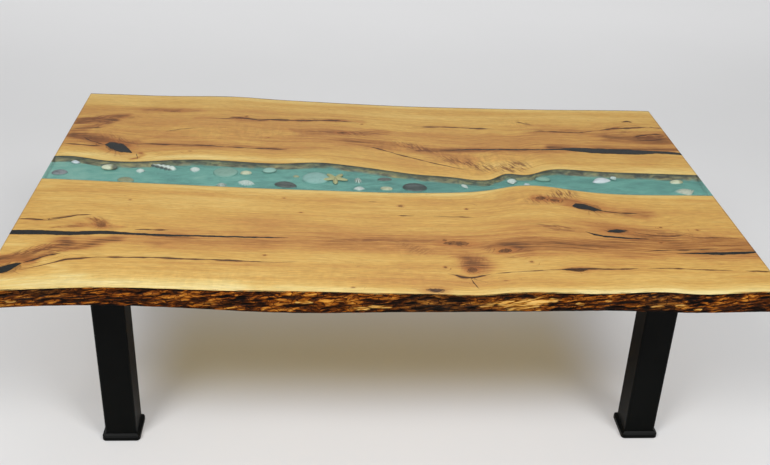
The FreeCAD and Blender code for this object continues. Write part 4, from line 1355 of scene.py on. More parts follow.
@dataclass
class Plank:
    """One plank: the slab itself and the bark on its live edge.

    Args:
        which: front or rear.
        cells: cells of the slab along, across and down.
        bark_cells: cells of the bark along, inwards and down.
    """

    which: Which
    cells: tuple[int, int, int] = (400, 108, 7)
    bark_cells: tuple[int, int, int] = (1060, 1, 32)

    def __post_init__(self) -> None:
        """Read the slab's outline from the construction at its top, middle and underside."""
        self.node = f"{self.which.name.lower()}_plank"
        low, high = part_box(self.node)
        self.left, self.right = low.x, high.x
        self.top, self.bottom = high.z, low.z
        self.limit = abs(low.y if self.which is Which.FRONT else high.y)
        points = self.without_fills(node_mesh(self.node)[0])
        middle = (self.top + self.bottom) / 2
        self.levels = [
            points[np.abs(points[:, 2] - height) < WELD_DISTANCE]
            for height in (self.top, middle, self.bottom)
        ]

    @staticmethod
    def without_fills(points: Array) -> Array:
        """The points, less those on the walls of the pockets that hold dark resin."""
        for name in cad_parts:
            if name.startswith("fill_"):
                low, high = (np.array(corner[:]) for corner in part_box(name))
                inside = (points > low - WELD_DISTANCE) & (points < high + WELD_DISTANCE)
                points = points[~inside.all(1)]
        return points

    def curve(self, kept: str, x: Array, down: Array) -> Array:
        """Y of the live edge or the bank.

        Args:
            kept: "edge" or "bank".
            x: places along the table.
            down: share of the way from the top to the underside.

        Returns:
            Y, straight between the outlines at the three levels.
        """
        rows = []
        for level in self.levels:
            reach = np.abs(level[:, 1])
            line = level[reach > EDGE_REACH if kept == "edge" else reach < BANK_REACH]
            line = line[np.argsort(line[:, 0])]
            rows.append(np.interp(x, line[:, 0], line[:, 1]))
        upper = rows[0] + (rows[1] - rows[0]) * 2 * down
        lower = rows[1] + (rows[2] - rows[1]) * (2 * down - 1)
        return np.where(down < 0.5, upper, lower)

    def build(self, finishes: dict[str, Material]) -> None:
        """Build the slab and its bark.

        Args:
            finishes: materials by the names wood, under, end, bank and bark.
        """
        self.build_slab(finishes)
        self.build_bark(finishes)

    def build_slab(self, finishes: dict[str, Material]) -> None:
        """The slab: a block whose v runs from the bank to the live edge.

        The level outlines give its sides. Under the bark the wood lies BARK_DEPTH further in, the
        top's outer rim is eased, and the rows of cells are closer near the top.
        """
        places, faces, side = block_surface(*self.cells)
        u, v, w = places.T
        w = w**ROW_CROWDING
        x = self.left + u * (self.right - self.left)
        sign = self.which.value
        bank = self.curve("bank", x, w)
        spread = join(x, 0, w)
        rough = fractal(spread, (44 * MM, 1, 0.5), 3, 5)
        bank = bank - sign * BANK_ROUGHNESS * (rough + 0.6) * smooth_step(0.03, 0.25, w)
        ragged = RIM_RAGGED * (1 + fractal(spread, (13 * MM, 1, 9), 2, 15))
        inset = ragged + BARK_DEPTH * smooth_step(0.0, BARK_LIP, w)
        edge = self.curve("edge", x, w) - sign * inset
        y = bank + (edge - bank) * v
        rim = np.abs(edge - y)
        drop = EASED_DROP * (1 - smooth_step(0, EASED_WIDTH, rim)) * (w == 0)
        z = self.top - COAT_DEPTH - w * (self.top - COAT_DEPTH - self.bottom) - drop
        points = join(x, y, z)
        slots = np.zeros(6, int)
        slots[[Side.START, Side.END]] = 1
        slots[Side.BANK] = 2
        slots[Side.UNDER] = 3
        Piece(
            name=f"{self.node}_slab",
            points=points,
            faces=[faces],
            slot="oak_plank",
            node=self.node,
            finishes=tuple(finishes[key] for key in ("wood", "end", "bank", "under")),
            slot_of=slots[side],
            fields=self.fields(points),
        ).build()

    def fields(self, points: Array) -> dict[str, Array]:
        """Grain, stain, crack, knot and figure at each point of the slab.

        The grain runs with the share of the way from the bank to the live edge, so it follows
        both, and it flows round the knots.
        """
        figure = FIGURES[self.which]
        flat = points[:, :2] / MM
        x, y, z = points.T
        none = np.zeros_like(x)
        bank, edge = self.curve("bank", x, none), self.curve("edge", x, none)
        width = np.abs(edge - bank)
        share = np.clip(np.abs(y - bank) / width, 0, 1)
        across = self.which.value * share * width.mean() - figure.flow(flat) * MM
        grain = join(x, across, z)
        in_from_edge = np.abs(edge - y) / MM
        in_from_bank = np.abs(y - bank) / MM
        reach = np.interp(x / MM, *np.array(SAPWOOD_REACH, float).T)
        heart = smooth_step(6, reach, in_from_edge)
        heart *= 0.66 + 0.34 * smooth_step(0, 36, in_from_bank)
        tone = SAPWOOD_TONE + (HEARTWOOD_TONE - SAPWOOD_TONE) * heart
        spread = join(x, y, 0)
        warp = [fractal(spread, (60 * MM, 26 * MM, 1), 2, seed) for seed in (61, 67)]
        warped = flat + np.stack(warp, -1) * STAIN_WARP
        fade = 1 - smooth_step(1, 9, (self.top - z) / MM)
        crack = figure.crack_field(flat)
        crack[:, 1] *= fade
        knot = figure.knot_field(flat)
        knot[:, 2] *= fade
        lash = figure.lash_field(flat)
        lash[:, 2] *= fade
        return {
            "grain": grain,
            "tone": join(tone, figure.stain_field(warped), 0),
            "crack": crack,
            "knot": knot,
            "lash": lash,
            "figure": figure.curl_field(warped),
            "below": (self.top - z) / MM,
        }

    def build_bark(self, finishes: dict[str, Material]) -> None:
        """The bark: a strip whose outer face has ridges that reach the outline.

        Lumps 60 mm long carry slivers 26 mm long, both noise fields that lean along the edge. The
        relief goes inwards only, and fades out towards the underside.
        """
        places, faces, _ = block_surface(*self.bark_cells)
        u, v, w = places.T
        x = self.left + u * (self.right - self.left)
        sign = self.which.value
        z = self.top - EASED_DROP - w * (self.top - EASED_DROP - self.bottom)
        down = (self.top - z) / (self.top - self.bottom)
        outline = self.curve("edge", x, down)
        spread = join(x, 0, z)
        lean = join(x + 0.9 * z, 0, z - 0.12 * x)
        lumps = fractal(lean, (60 * MM, 1, 15 * MM), 2, 11)
        slivers = 1 - 2 * np.abs(fractal(lean, (26 * MM, 1, 7 * MM), 2, 23))
        grit = fractal(spread, (9 * MM, 1, 4 * MM), 1, 29)
        bare = self.bare_wood(x, z)
        height = 0.5 + 0.28 * lumps + 0.30 * slivers * (1 - bare) + 0.08 * grit
        height = np.clip(height, 0, 1)
        lightness, heat, groove = self.bark_zones(x)
        shallow = 1 - 0.8 * smooth_step(0.82, 1.0, w)
        shallow *= 1 - (1 - groove) * (1 - smooth_step(0.0, 0.2, w))
        relief = BARK_RELIEF * (1 - height) * shallow
        lip = 0.5 + 0.5 * noise(spread, (22 * MM, 1, 9), 37)
        top_tuck = (0.2 + 3.4 * lip * groove) * MM * (1 - smooth_step(0.0, 0.12, w))
        outer = np.clip(np.abs(outline) - relief - top_tuck, 0, self.limit)
        inner = np.abs(outline) - BARK_ROOT
        y = sign * (inner + (outer - inner) * v)
        # shade darkens the bark's colour: painted shade along its top where the groove under the wood is
        # deep, and darker towards its bottom edge.
        shade = 0.5 * (groove * lip - 0.12) * (1 - smooth_step(0.02, 0.16, w))
        shade += 0.16 * smooth_step(0.9, 1.0, w)
        warmth = 0.75 + 0.5 * fractal(spread, (120 * MM, 1, 0.05), 2, 31)
        # ridge, which sets the colour, is low in the relief's hollows, so they are painted darker,
        # partly as shade.
        ridge = 0.14 + 0.62 * height + lightness - shade
        Piece(
            name=f"{self.node}_bark",
            points=join(x, y, z),
            faces=[faces],
            slot="oak_plank",
            node=self.node,
            finishes=(finishes["bark"],),
            fields={
                "ridge": np.clip(ridge, 0, 1),
                "warmth": np.clip(warmth + heat, 0, 1),
                "bare": bare,
            },
        ).build()

    def bark_zones(self, x: Array) -> tuple[Array, Array, Array]:
        """How much lighter and warmer the bark is along the edge, and how deep its top groove, which
        also sets its painted shade.

        Args:
            x: places along the table.

        Returns:
            Lightness and warmth to add, and groove, each straight between the rows of BARK_ZONES.
        """
        zones = np.array(BARK_ZONES if self.which is Which.FRONT else BARK_ZONES[:1], float)
        return tuple(np.interp(x / MM, zones[:, 0], zones[:, column]) for column in (1, 2, 3))

    def bare_wood(self, x: Array, z: Array) -> Array:
        """1 where the front edge has lost its bark and pale wood shows, 0 elsewhere."""
        if self.which is Which.REAR:
            return np.zeros_like(x)
        spread = join(x + 0.8 * z, 0, z - 0.1 * x)
        ragged = 0.35 * fractal(spread, (22 * MM, 1, 7 * MM), 3, 41)
        bare = np.zeros_like(x)
        for middle, half_length, height, half_height in BARE_PATCHES:
            along = (x / MM - middle) / half_length
            radius = np.hypot(along, (z / MM - height) / half_height)
            bare = np.maximum(bare, 1 - smooth_step(0.78, 1.02, radius + ragged))
        return bare


# ---------------------------------------------------------------- resin

BLOCK_CREASE = 40.0
FILL_STEP = 2 * MM
FILL_LEAST_CELLS = 14
FILL_RAGGED = {"knot": 2.0 * MM, "shake": 0.7 * MM, "notch": 0.7 * MM}
FILL_TIP = 0.1 * MM
FILL_MOST_RAGGED = 0.42
FILL_PROUD = 0.05 * MM
BROWN_FILLS = ("fill_front_edge_notch", "fill_front_low_shake")


@dataclass
class DarkFill:
    """Dark resin in one knot or shake.

    Args:
        node: the construction node.
    """

    node: str

    def build(self, finish: Material) -> None:
        """A block between the two sides of the node's outline, each side made ragged.

        A line across the plank at each x meets the edges of the triangles on the node's top face;
        its first and last meeting are the two sides. A noise field moves them.
        """
        low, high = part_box(self.node)
        along = max(int((high.x - low.x) / FILL_STEP), FILL_LEAST_CELLS)
        stations = np.linspace(low.x, high.x, along + 1)
        places, faces, _ = block_surface(along, 4, 3)
        u, v, w = places.T
        x = low.x + u * (high.x - low.x)
        front, rear = (np.interp(x, stations, side) for side in self.sides(high.z, stations))
        half = (rear - front) / 2
        ragged = np.minimum(FILL_RAGGED[self.node.split("_")[-1]], FILL_MOST_RAGGED * half)
        spread = join(x, 0, 0)
        rims = [
            (rear + front) / 2
            + sign * (half + ragged * fractal(spread, (9 * MM, 1, 1), 3, seed) + FILL_TIP)
            for seed, sign in ((51, -1), (57, 1))
        ]
        narrowed = 0.5 + (v - 0.5) * (1 - 0.3 * w)
        y = rims[0] + (rims[1] - rims[0]) * narrowed
        z = high.z - FILL_PROUD - w * (high.z - FILL_PROUD - low.z)
        Piece(
            name=self.node + "_cast",
            points=join(x, y, z),
            faces=[faces],
            slot="dark_resin",
            node=self.node,
            finishes=(finish,),
            fields={"rim": np.abs(2 * v - 1)},
            crease=BLOCK_CREASE,
        ).build()

    def sides(self, top: float, stations: Array) -> tuple[Array, Array]:
        """Front and rear side of the node's top face.

        Args:
            top: height of the top face.
            stations: places along the table, in order.

        Returns:
            Y of the front side and of the rear side at each station.
        """
        points, corners = node_mesh(self.node)
        triangles = points[corners]
        flat = triangles[(np.abs(triangles[:, :, 2] - top) < WELD_DISTANCE).all(1)]
        start = flat.reshape(-1, 3)
        end = np.roll(flat, -1, axis=1).reshape(-1, 3)
        held = np.clip(stations, stations[0] + WELD_DISTANCE, stations[-1] - WELD_DISTANCE)[:, None]
        run = end[:, 0] - start[:, 0]
        share = (held - start[:, 0]) / np.where(run == 0, np.inf, run)
        met = (share >= 0) & (share <= 1) & (run != 0)
        y = start[:, 1] + share * (end[:, 1] - start[:, 1])
        return np.where(met, y, np.inf).min(1), np.where(met, y, -np.inf).max(1)


# ---------------------------------------------------------------- stones and shells

# What each entry of SHAPES returns: points about the middle of its seat, and faces. It takes the
# seat, which gives the half sizes, and a seed, which only some of them use.
Lump = tuple[Array, Faces]


@dataclass(frozen=True)
class Seat:
    """Where a stone lies: its middle, half its length, depth and height, and its turn."""

    middle: Array
    half: Array
    turn: float

    @classmethod
    def under(cls, points: Array) -> "Seat":
        """Seat of a solid: its own axes are those along which its corners spread most and least."""
        middle = (points.min(0) + points.max(0)) / 2
        flat = points[:, :2] - points[:, :2].mean(0)
        _, axes = np.linalg.eigh(flat.T @ flat)
        turn = math.atan2(axes[1, 1], axes[0, 1])
        turn = (turn + math.pi / 2) % math.pi - math.pi / 2
        ahead = np.array((math.cos(turn), math.sin(turn)))
        side = np.array((-math.sin(turn), math.cos(turn)))
        spans = [np.ptp(flat @ ahead) / 2, np.ptp(flat @ side) / 2, np.ptp(points[:, 2]) / 2]
        return cls(middle, np.array(spans), turn)

    def place(self, local: Array) -> Array:
        """Turn local points about the vertical and move them to the middle."""
        cos, sin = math.cos(self.turn), math.sin(self.turn)
        turned = local @ np.array(((cos, sin, 0), (-sin, cos, 0), (0, 0, 1)))
        return turned + self.middle


def round_grid(rings: int, spokes: int, stop: float = 1.0) -> tuple[Array, Array]:
    """A column of values from 0 to stop and a row of angles all the way round."""
    spoke = np.linspace(0, math.tau, spokes, endpoint=False)[None]
    return np.linspace(0, stop, rings)[:, None], spoke


def round_shell(
    half: Array, reach: Array, spoke: Array, upper: Array, lower: Array | float
) -> Lump:
    """Round body that is closed at its rim, in polar coordinates.

    Args:
        half: half sizes.
        reach: distance from the middle, ring by ring.
        spoke: angles.
        upper: height of the upper side.
        lower: height of the lower side.

    Returns:
        The lump.
    """
    x, y = reach * np.cos(spoke), reach * np.sin(spoke)
    return ring_surface(np.concatenate([join(x, y, upper), join(x, y, lower)[-2::-1]]) * half)


def pebble(seat: Seat, seed: int, squareness: float = 0.9) -> Lump:
    """Worn stone: an ellipsoid, its sines raised to a power, swollen by slow noise.

    Args:
        seat: gives the half sizes.
        seed: picks the noise.
        squareness: 1 for an ellipsoid, less for a boxier stone.

    Returns:
        The lump.
    """
    polar, spoke = round_grid(17, 36, math.pi)
    ring = np.sin(polar) ** squareness
    level = np.sign(np.cos(polar)) * np.abs(np.cos(polar)) ** squareness
    ball = join(ring * np.cos(spoke), ring * np.sin(spoke), level)
    swell = 0.94 + 0.07 * noise(ball, (0.9, 0.9, 0.9), seed)
    return ring_surface(ball * swell[..., None] * seat.half)


def crystal(seat: Seat, seed: int) -> Lump:
    """Quartz chip: an ellipsoid cut back to 14 flats, so that it has corners."""
    points, faces = pebble(seat, seed, 0.7)
    ways = np.random.default_rng(seed).normal(size=(14, 3))
    ways /= np.linalg.norm(ways, axis=1)[:, None]
    ball = points / seat.half
    reach = (ball @ ways.T).max(1)
    cut = np.minimum(1, 0.72 / np.maximum(reach, 0.5))
    return ball * cut[:, None] * 1.25 * seat.half * 0.98, faces


def disc_shell(seat: Seat, seed: int) -> Lump:
    """Flat round shell: a low dome with a rolled rim and five shallow petals on it."""
    rings, spoke = round_grid(18, 72)
    rim = 1 + 0.02 * np.sin(3 * spoke + seed) + 0.012 * np.sin(7 * spoke)
    dome = np.sqrt(np.clip(1 - rings**4, 0, 1)) * (0.72 + 0.28 * (1 - rings**2))
    petal = np.exp(-(((rings - 0.42) / 0.16) ** 2)) * np.clip(np.cos(5 * spoke + seed), 0, 1) ** 3
    return round_shell(seat.half, rings * rim, spoke, dome - 0.10 * petal, -dome)


def barnacle(seat: Seat, seed: int) -> Lump:
    """Barnacle: a cone of fluted plates with a crater at its top."""
    rings, spoke = round_grid(15, 60)
    flute = 1 + 0.09 * np.cos(10 * spoke + seed) * rings
    crater = np.where(rings < 0.32, 0.35 + 2.0 * rings, 1.0 - (rings - 0.32) / 0.68)
    points, faces = round_shell(seat.half, rings * flute, spoke, crater, 0.6 * (rings - 1))
    return points * 0.92, faces


def sea_star(seat: Seat, _: int) -> Lump:
    """Starfish: its rim swings out at five arms, and each arm has a round, bumpy ridge."""
    rings, spoke = round_grid(16, 120)
    pointed = np.abs(np.cos(5 * spoke / 2)) ** 2.6
    reach = rings * (0.36 + 0.64 * pointed)
    ridge = np.sqrt(np.clip(1 - rings**2, 0, 1)) * (0.55 + 0.45 * pointed)
    bumps = 0.10 * np.abs(np.sin(26 * reach)) * pointed
    return round_shell(seat.half, reach, spoke, 2 * ridge + bumps * (rings < 0.95) - 1, -1.0)


def fan_shell(seat: Seat, ribs: int, half_angle: float, relief: float) -> Lump:
    """Bivalve: a fan about its hinge, domed both ways, with ribs that run out from the hinge.

    Args:
        seat: gives the half sizes.
        ribs: number of ribs.
        half_angle: half of the fan's opening, in degrees.
        relief: height of the ribs as a share of the shell's half height.

    Returns:
        The lump; the hinge points along -y.
    """
    places, faces, _ = block_surface(22, 12 * ribs, 1)
    u, v, w = places.T
    angle = math.radians(half_angle) * (2 * v - 1)
    wave = np.cos(math.tau * ribs * v)
    reach = (0.10 + 0.90 * u) * (1 - 0.045 * u * (1 + wave))
    x, y = reach * np.sin(angle), reach * np.cos(angle)
    dome = np.sin(math.pi * np.clip(u, 0.02, 1) ** 0.75) ** 0.6 * (1 - 0.55 * (2 * v - 1) ** 2)
    growth = 0.03 * np.sin(38 * u)
    top = dome * (1 - relief * (1 + wave) / 2 * u) + growth * u
    z = np.where(w < 0.5, top, -0.55 * dome)
    local = join(x, y - (y.max() + y.min()) / 2, z)
    spans = np.array((np.ptp(x) / 2, np.ptp(y) / 2, 1.0))
    return local / spans * seat.half * (0.98, 0.98, 0.95), [faces]


def whelk(seat: Seat, _: int) -> Lump:
    """Spiral shell, its apex along +x: a spindle, pinched along a helix that is its suture."""
    whorls, canal = 6.0, 0.3
    share, spoke = round_grid(121, 48)
    rising = smooth_step(0, canal, share) * 0.85 + 0.15
    to_apex = np.clip((1 - share) / (1 - canal), 0, 1)
    body = np.where(share < canal, rising, np.clip(to_apex**1.1, 0.03, 1))
    turns = whorls * (1 - to_apex**1.3) - spoke / math.tau
    suture = np.abs(np.sin(math.pi * turns)) ** 0.6
    ribs = 0.04 * np.sin(14 * math.pi * turns * 0.5 + 9 * spoke)
    pinch = np.where(share < canal, 1, 0.74 + 0.26 * suture) + ribs * (share > canal)
    radius = body * pinch * np.sqrt(np.clip(np.sin(math.pi * np.clip(share, 0, 1)), 0, 1)) ** 0.25
    radius[[0, -1]] = 0
    rings = join(2 * share - 1, radius * np.cos(spoke), radius * np.sin(spoke))
    return ring_surface(rings * seat.half * (1, 0.95, 0.95))


class Form(Enum):
    """How a stone or shell is shaped."""

    PEBBLE = auto()
    CRYSTAL = auto()
    DISC = auto()
    CLAM = auto()
    SCALLOP = auto()
    BARNACLE = auto()
    STAR = auto()
    WHELK = auto()


SHAPES: dict[Form, Callable[[Seat, int], Lump]] = {
    Form.PEBBLE: pebble,
    Form.CRYSTAL: crystal,
    Form.DISC: disc_shell,
    Form.CLAM: lambda seat, _: fan_shell(seat, 7, 62, 0.25),
    Form.SCALLOP: lambda seat, _: fan_shell(seat, 9, 46, 0.5),
    Form.BARNACLE: barnacle,
    Form.STAR: sea_star,
    Form.WHELK: whelk,
}


@dataclass(frozen=True)
class Find:
    """One stone or shell.

    Args:
        form: its shape.
        shade: place among its finish's shades, 0 to 1.
        turn: degrees to turn it on from its solid's own direction.
        far_shade: shade of its right end, if that differs.
        tilt: degrees by which the end at its own +x is raised.
        swell: how much larger than its solid it is, across and along.
        shift: how far it lies from its solid, in millimetres.
    """

    form: Form
    shade: float
    turn: float = 0.0
    far_shade: float | None = None
    tilt: float = 0.0
    swell: float = 1.0
    shift: Triple = (0.0, 0.0, 0.0)

    def shades(self, local: Array, seat: Seat) -> Array:
        """Shade of each point.

        It is the find's own, or runs from that to the shade of its far end; barnacles are striped,
        and a whelk is dark towards its front and its apex: its mouth's side, darkened further by
        painted shade beneath its spire.
        """
        along, across = (local[:, axis] / seat.half[axis] for axis in (0, 1))
        if self.form is Form.BARNACLE:
            return np.clip(0.45 + 0.55 * np.cos(10 * np.arctan2(local[:, 1], local[:, 0])), 0, 1)
        if self.form is Form.WHELK:
            # Painted shade: the whelk goes dark towards its front and its apex, under its spire.
            return 0.95 - 0.95 * smooth_step(-0.05, 0.45, across + 0.45 * along)
        shade = np.full(len(local), self.shade)
        if self.far_shade is not None:
            shade += (self.far_shade - self.shade) * smooth_step(0.1, 0.45, along)
        return shade


@dataclass(frozen=True)
class Batch:
    """The stones or shells of one node.

    Args:
        slot: the record's material slot.
        finish: their material.
        finds: what the node's solids are, from left to right.
    """

    slot: str
    finish: Mineral
    finds: tuple[Find, ...]


BATCHES = {
    "dark_pebbles": Batch(
        "dark_stone",
        Mineral(
            "beach_stone_dark_worn", ("#323534", "#464442", "#5A5651", "#89858B"), "#292725", 16, 0.6
        ),
        tuple(Find(Form.PEBBLE, shade) for shade in (0.95, 0.35, 0.65, 0.1)),
    ),
    "pale_pebbles": Batch(
        "pale_stone",
        Mineral(
            "beach_stone_pale_worn", ("#5D5847", "#A19A72", "#BDB592", "#DDD6BA"), "#726D50", 12, 0.4
        ),
        (
            Find(Form.PEBBLE, 1.0, far_shade=0.0),
            *(Find(Form.PEBBLE, shade) for shade in (0.25, 0.85, 0.3, 0.75)),
            Find(Form.PEBBLE, 0.9, far_shade=0.5),
        ),
    ),
    "clam_shells": Batch(
        "shell",
        Mineral(
            "clam_and_barnacle_natural", ("#161713", "#A4A495", "#C2C9C2", "#CFCECA"), "#57574F", 4, 0.25
        ),
        (
            Find(Form.CLAM, 0.9, 40), Find(Form.CLAM, 0.95, -60), Find(Form.BARNACLE, 0.2),
            Find(Form.CLAM, 0.7, 150), Find(Form.BARNACLE, 0.0), Find(Form.CLAM, 0.95, 20),
            Find(Form.CLAM, 0.85, 110), Find(Form.CLAM, 0.85, 10),
        ),
    ),
    "flat_shells": Batch(
        "shell",
        Mineral(
            "flat_shell_natural", ("#779C8B", "#8BA79A", "#88ACA6", "#8EB3AC"), "#55786A", 15, 0.35
        ),
        (Find(Form.DISC, 0.2), Find(Form.DISC, 0.9)),
    ),
    "sea_glass": Batch(
        "sea_glass",
        Mineral(
            "sea_glass_frosted", ("#759A8A", "#80A394", "#8DAEA2", "#96B4AA"), "#789E90", 20, 0.3
        ),
        (Find(Form.PEBBLE, 0.8), Find(Form.PEBBLE, 0.2)),
    ),
    "quartz_chips": Batch(
        "quartz",
        Mineral(
            "quartz_milky_broken", ("#ADBBB6", "#C5CCC9", "#CECED4", "#D6D4D9"), "#A6A3B9", 9, 0.45
        ),
        tuple(Find(Form.CRYSTAL, shade) for shade in (0.6, 0.5, 1.0, 0.3)),
    ),
    "spiral_shell": Batch(
        "shell",
        Mineral(
            "whelk_shell_natural", ("#2B302E", "#747770", "#D2D5CC", "#E8E7E2"), "#7F7F76", 7, 0.3
        ),
        (Find(Form.WHELK, 0.8, 168, tilt=7.0, swell=1.42, shift=(2.5, 15.5, 0.9)),),
    ),
    "starfish": Batch(
        "starfish",
        Mineral("starfish_dried", ("#A49A61", "#ADA26A", "#B2A77A", "#B6AF89"), "#908451", 4, 0.3),
        (Find(Form.STAR, 0.5, swell=1.22, shift=(-12.0, 3.0, 1.5)),),
    ),
    "scallop_shell": Batch(
        "shell",
        Mineral(
            "scallop_shell_natural", ("#A29E8B", "#BAB5A0", "#CBC6B5", "#D7D3C6"), "#7A755F", 6, 0.35
        ),
        (Find(Form.SCALLOP, 0.6),),
    ),
}
VEIL_DEPTH = 3.0 * MM

# How pale the pearl pigment lies along the river. Each row: place along the table in millimetres
# and paleness, 0 to 1.
POUR_PEARL = (
    (-710, 0.80), (-560, 0.72), (-450, 0.48), (-350, 0.62), (-260, 0.48), (-150, 0.50),
    (0, 0.34), (150, 0.34), (330, 0.42), (560, 0.52), (710, 0.48),
)


@dataclass
class River:
    """The river between the planks: two pours of resin, and the stones and shells in it.

    Args:
        front: the front plank, which gives one bank.
        rear: the rear plank, which gives the other.
        cells: cells of each pour along, across and down.
        side_gap: clearance of the clear pour at each bank.
        base_overlap: how far the teal pour runs into each bank.
        surface_gap: how far each pour's top lies under its node's.
    """

    front: Plank
    rear: Plank
    cells: tuple[int, int, int] = (300, 24, 3)
    side_gap: float = 0.15 * MM
    base_overlap: float = 2.0 * MM
    surface_gap: float = 0.05 * MM

    def build(self, finishes: dict[str, Material]) -> None:
        """Build both pours, then what lies in them.

        Args:
            finishes: materials by the names teal, clear, inside and end.
        """
        base, clear = "river_base_layer", "river_clear_layer"
        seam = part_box(base)[1].z
        layers = tuple(finishes[key] for key in ("clear", "inside", "end"))
        self.pour(base, "teal_resin", (finishes["teal"],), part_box(base)[0].z, -self.base_overlap)
        self.pour(clear, "clear_resin", layers, seam, self.side_gap)
        for node, batch in BATCHES.items():
            self.build_batch(node, batch, seam)

    def pour(
        self, node: str, slot: str, finishes: tuple[Material, ...], low: float, gap: float
    ) -> None:
        """One pour: a block between the banks at each depth.

        Args:
            node: the construction node, which gives the pour's top.
            slot: the record's material slot.
            finishes: the materials of the top, the hidden sides and the ends, or one for all.
            low: height of its underside.
            gap: clearance at the banks, or less than 0 to run into them.
        """
        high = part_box(node)[1].z - self.surface_gap
        places, faces, side = block_surface(*self.cells)
        u, v, w = places.T
        x = self.front.left + u * (self.front.right - self.front.left)
        z = high - w * (high - low)
        down = (self.front.top - z) / (self.front.top - self.front.bottom)
        front = self.front.curve("bank", x, down) + gap
        rear = self.rear.curve("bank", x, down) - gap
        y = front + (rear - front) * v
        slot_of = np.select([side == Side.TOP, side <= Side.END], [0, 2], 1)
        Piece(
            name=node + "_cast",
            points=join(x, y, z),
            faces=[faces],
            slot=slot,
            node=node,
            finishes=finishes,
            slot_of=slot_of % len(finishes),
            fields={"pearl": np.interp(x / MM, *np.array(POUR_PEARL, float).T)},
            crease=BLOCK_CREASE,
        ).build()

    @staticmethod
    def build_batch(node: str, batch: Batch, seam: float) -> None:
        """All stones or shells of one node as one piece.

        Args:
            node: the construction node.
            batch: what its solids are.
            seam: height of the top of the teal pour, in which they are sunk.
        """
        points, faces, shade = [], [], []
        count = 0
        for number, (solid, find) in enumerate(zip(loose_parts(node), batch.finds)):
            seat = Seat.under(solid)
            local, groups = SHAPES[find.form](seat, number)
            middle = seat.middle + np.array(find.shift) * MM
            spot = Seat(middle, seat.half, seat.turn + math.radians(find.turn))
            cos, sin = math.cos(math.radians(find.tilt)), math.sin(math.radians(find.tilt))
            rise = np.array(((cos, 0, sin), (0, 1, 0), (-sin, 0, cos)))
            placed = spot.place(local * (find.swell, find.swell, 1) @ rise)
            points.append(placed)
            faces += [group + count for group in outward(placed, groups)]
            count += len(placed)
            shade.append(find.shades(local, seat))
        joined = np.concatenate(points)
        sunk = 1 - np.clip((joined[:, 2] - seam) / VEIL_DEPTH, 0, 1)
        Piece(
            name=node + "_set",
            points=joined,
            faces=faces,
            slot=batch.slot,
            node=node,
            finishes=(batch.finish.build(),),
            fields={"shade": np.concatenate(shade), "sunk": sunk},
        ).build()


# ---------------------------------------------------------------- legs


@dataclass
class Legs:
    """The four steel legs, which keep their construction shapes and get their finishes."""

    black_parts: tuple[str, ...] = ("leg_tube", "leg_top_plate", "leg_foot_plate", "leg_welds")
    zinc_parts: tuple[str, ...] = ("leg_bolts", "leg_washers", "leg_inserts")
    felt_parts: tuple[str, ...] = ("leg_felt_pad",)

    def build(self) -> None:
        """Give every leg node its finish."""
        groups = (
            (self.black_parts, PowderCoat().build()),
            (self.zinc_parts, ZincPlate().build()),
            (self.felt_parts, Felt().build()),
        )
        for parts, finish in groups:
            for name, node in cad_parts.items():
                if name.startswith(parts):
                    node.data.materials.clear()
                    node.data.materials.append(finish)
                    log.info("%s: %s", name, finish.name)


# ---------------------------------------------------------------- studio


@dataclass(frozen=True)
class Lamp:
    """A square lamp: its place, what it is aimed at, the length of its side and its watts."""

    name: str
    spot: Triple
    aim: Triple
    size: float
    power: float

    def build(self) -> None:
        """Hang the lamp."""
        lamp = bpy.data.lights.new(self.name, "AREA")
        lamp.shape = "SQUARE"
        lamp.size = self.size
        lamp.energy = self.power
        holder = put_in_scene(self.name, lamp)
        holder.location = self.spot
        way = Vector(self.aim) - Vector(self.spot)
        holder.rotation_euler = way.to_track_quat("-Z", "Y").to_euler()


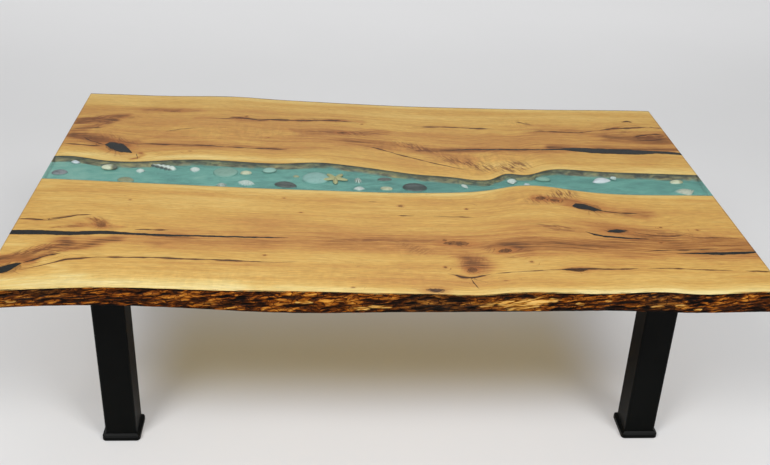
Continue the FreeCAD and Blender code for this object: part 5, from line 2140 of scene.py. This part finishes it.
@dataclass
class Studio:
    """Pale seamless floor, soft lamps and the camera.

    Args:
        eye: the camera's place.
        yaw: turn to the right of +Y, in degrees.
        pitch: tilt below the horizon, in degrees.
        roll: lean of the camera, in degrees.
        lens: focal length in millimetres on a 36 mm sensor.
        sweep_start: where the floor starts to rise behind the table.
        sweep_radius: radius of its rise.
        sweep_height: height of the wall over its rise.
        reach: how far the floor runs to each side and to the front.
        lamps: broad lamps in front at both sides, and one behind.
    """

    eye: Triple = (-0.12415, -1.9585, 1.3736)
    yaw: float = 4.096
    pitch: float = 28.331
    roll: float = 2.396
    lens: float = 46.948
    sweep_start: float = 3.6
    sweep_radius: float = 1.4
    sweep_height: float = 4.0
    reach: float = 9.0
    lamps: tuple[Lamp, ...] = (
        Lamp("left_lamp", (-1.7, -2.5, 3.3), (0.0, 0.1, 0.2), 1.3, 100.0),
        Lamp("right_lamp", (1.7, -2.5, 3.3), (0.0, 0.1, 0.2), 1.3, 88.0),
        Lamp("rear_lamp", (0.0, 2.6, 3.3), (0.0, 2.4, 0.0), 2.4, 26.0),
    )

    def build(self) -> None:
        """Make the floor, the lamps, the world's weak light and the camera."""
        self.build_floor()
        for lamp in self.lamps:
            lamp.build()
        world = bpy.data.worlds.new("studio_air")
        world.use_nodes = True
        world.node_tree.nodes.clear()
        air = add_node(world.node_tree, "Background", {"Color": "#EDEEF0", "Strength": 0.32})
        add_node(world.node_tree, "OutputWorld", {"Surface": air})
        bpy.context.scene.world = world
        bpy.context.scene.view_settings.view_transform = "Standard"
        self.build_camera()
        log.info("studio: floor, lamps and camera")

    def build_floor(self) -> None:
        """Floor that sweeps up in a quarter circle behind the table: a profile carried along X."""
        bend = np.linspace(0, math.pi / 2, 25)
        y = np.concatenate([[-self.reach], self.sweep_start + self.sweep_radius * np.sin(bend)])
        z = np.concatenate([[0], self.sweep_radius * (1 - np.cos(bend))])
        y, z = np.append(y, y[-1]), np.append(z, self.sweep_radius + self.sweep_height)
        x = np.linspace(-self.reach, self.reach, 3)
        grid = np.stack(np.broadcast_arrays(x[:, None], y[None], z[None]), -1)
        index = np.arange(grid[..., 0].size).reshape(grid.shape[:2])
        mesh = make_mesh("studio_floor", grid.reshape(-1, 3), [grid_quads(index)])
        mesh.materials.append(SeamlessPaper().build())
        put_in_scene("studio_floor", mesh)

    def build_camera(self) -> None:
        """Camera whose axes are worked out from its yaw, pitch and roll."""
        yaw, pitch, roll = (math.radians(a) for a in (self.yaw, self.pitch, self.roll))
        ahead = Vector(
            (math.sin(yaw) * math.cos(pitch), math.cos(yaw) * math.cos(pitch), -math.sin(pitch))
        )
        level = Vector((math.cos(yaw), -math.sin(yaw), 0))
        above = level.cross(ahead)
        right = level * math.cos(roll) + above * math.sin(roll)
        up = above * math.cos(roll) - level * math.sin(roll)
        axes = Matrix((right, up, -ahead)).transposed().to_4x4()
        camera = bpy.data.cameras.new("camera")
        camera.lens = self.lens
        camera.sensor_width = 36.0
        holder = put_in_scene("camera", camera)
        holder.matrix_world = Matrix.Translation(self.eye) @ axes
        bpy.context.scene.camera = holder


# ---------------------------------------------------------------- the table


def main() -> None:
    """Build the studio, the planks, the river, the dark fills and the legs, in that order."""
    logging.basicConfig(level=logging.INFO, format="%(message)s")
    Studio().build()
    wood = {
        "wood": Oak().build(),
        "under": Oak("oak_sanded_oiled", 0.6).build(),
        "end": OakEndGrain().build(),
        "bank": RiverBank().build(),
        "bark": Bark().build(),
    }
    planks = {which: Plank(which) for which in Which}
    for plank in planks.values():
        plank.build(wood)
    end = ClearResin("casting_resin_clear_end", mirrors_inside=True, mirror="#FFFFFF")
    resin = {
        "teal": TealResin().build(),
        "clear": ClearResin().build(),
        "inside": ClearResin("casting_resin_clear_inside", glossy=False).build(),
        "end": end.build(),
    }
    River(planks[Which.FRONT], planks[Which.REAR]).build(resin)
    charcoal = DarkResin().build()
    brown = ("#2A190A", "#442911", "#5F3D1C")
    amber = DarkResin("casting_resin_brown_polished", brown, "#4A2D14").build()
    for node in sorted(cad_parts):
        if node.startswith("fill_"):
            DarkFill(node).build(amber if node in BROWN_FILLS else charcoal)
    Legs().build()


if __name__ == "__main__":
    main()
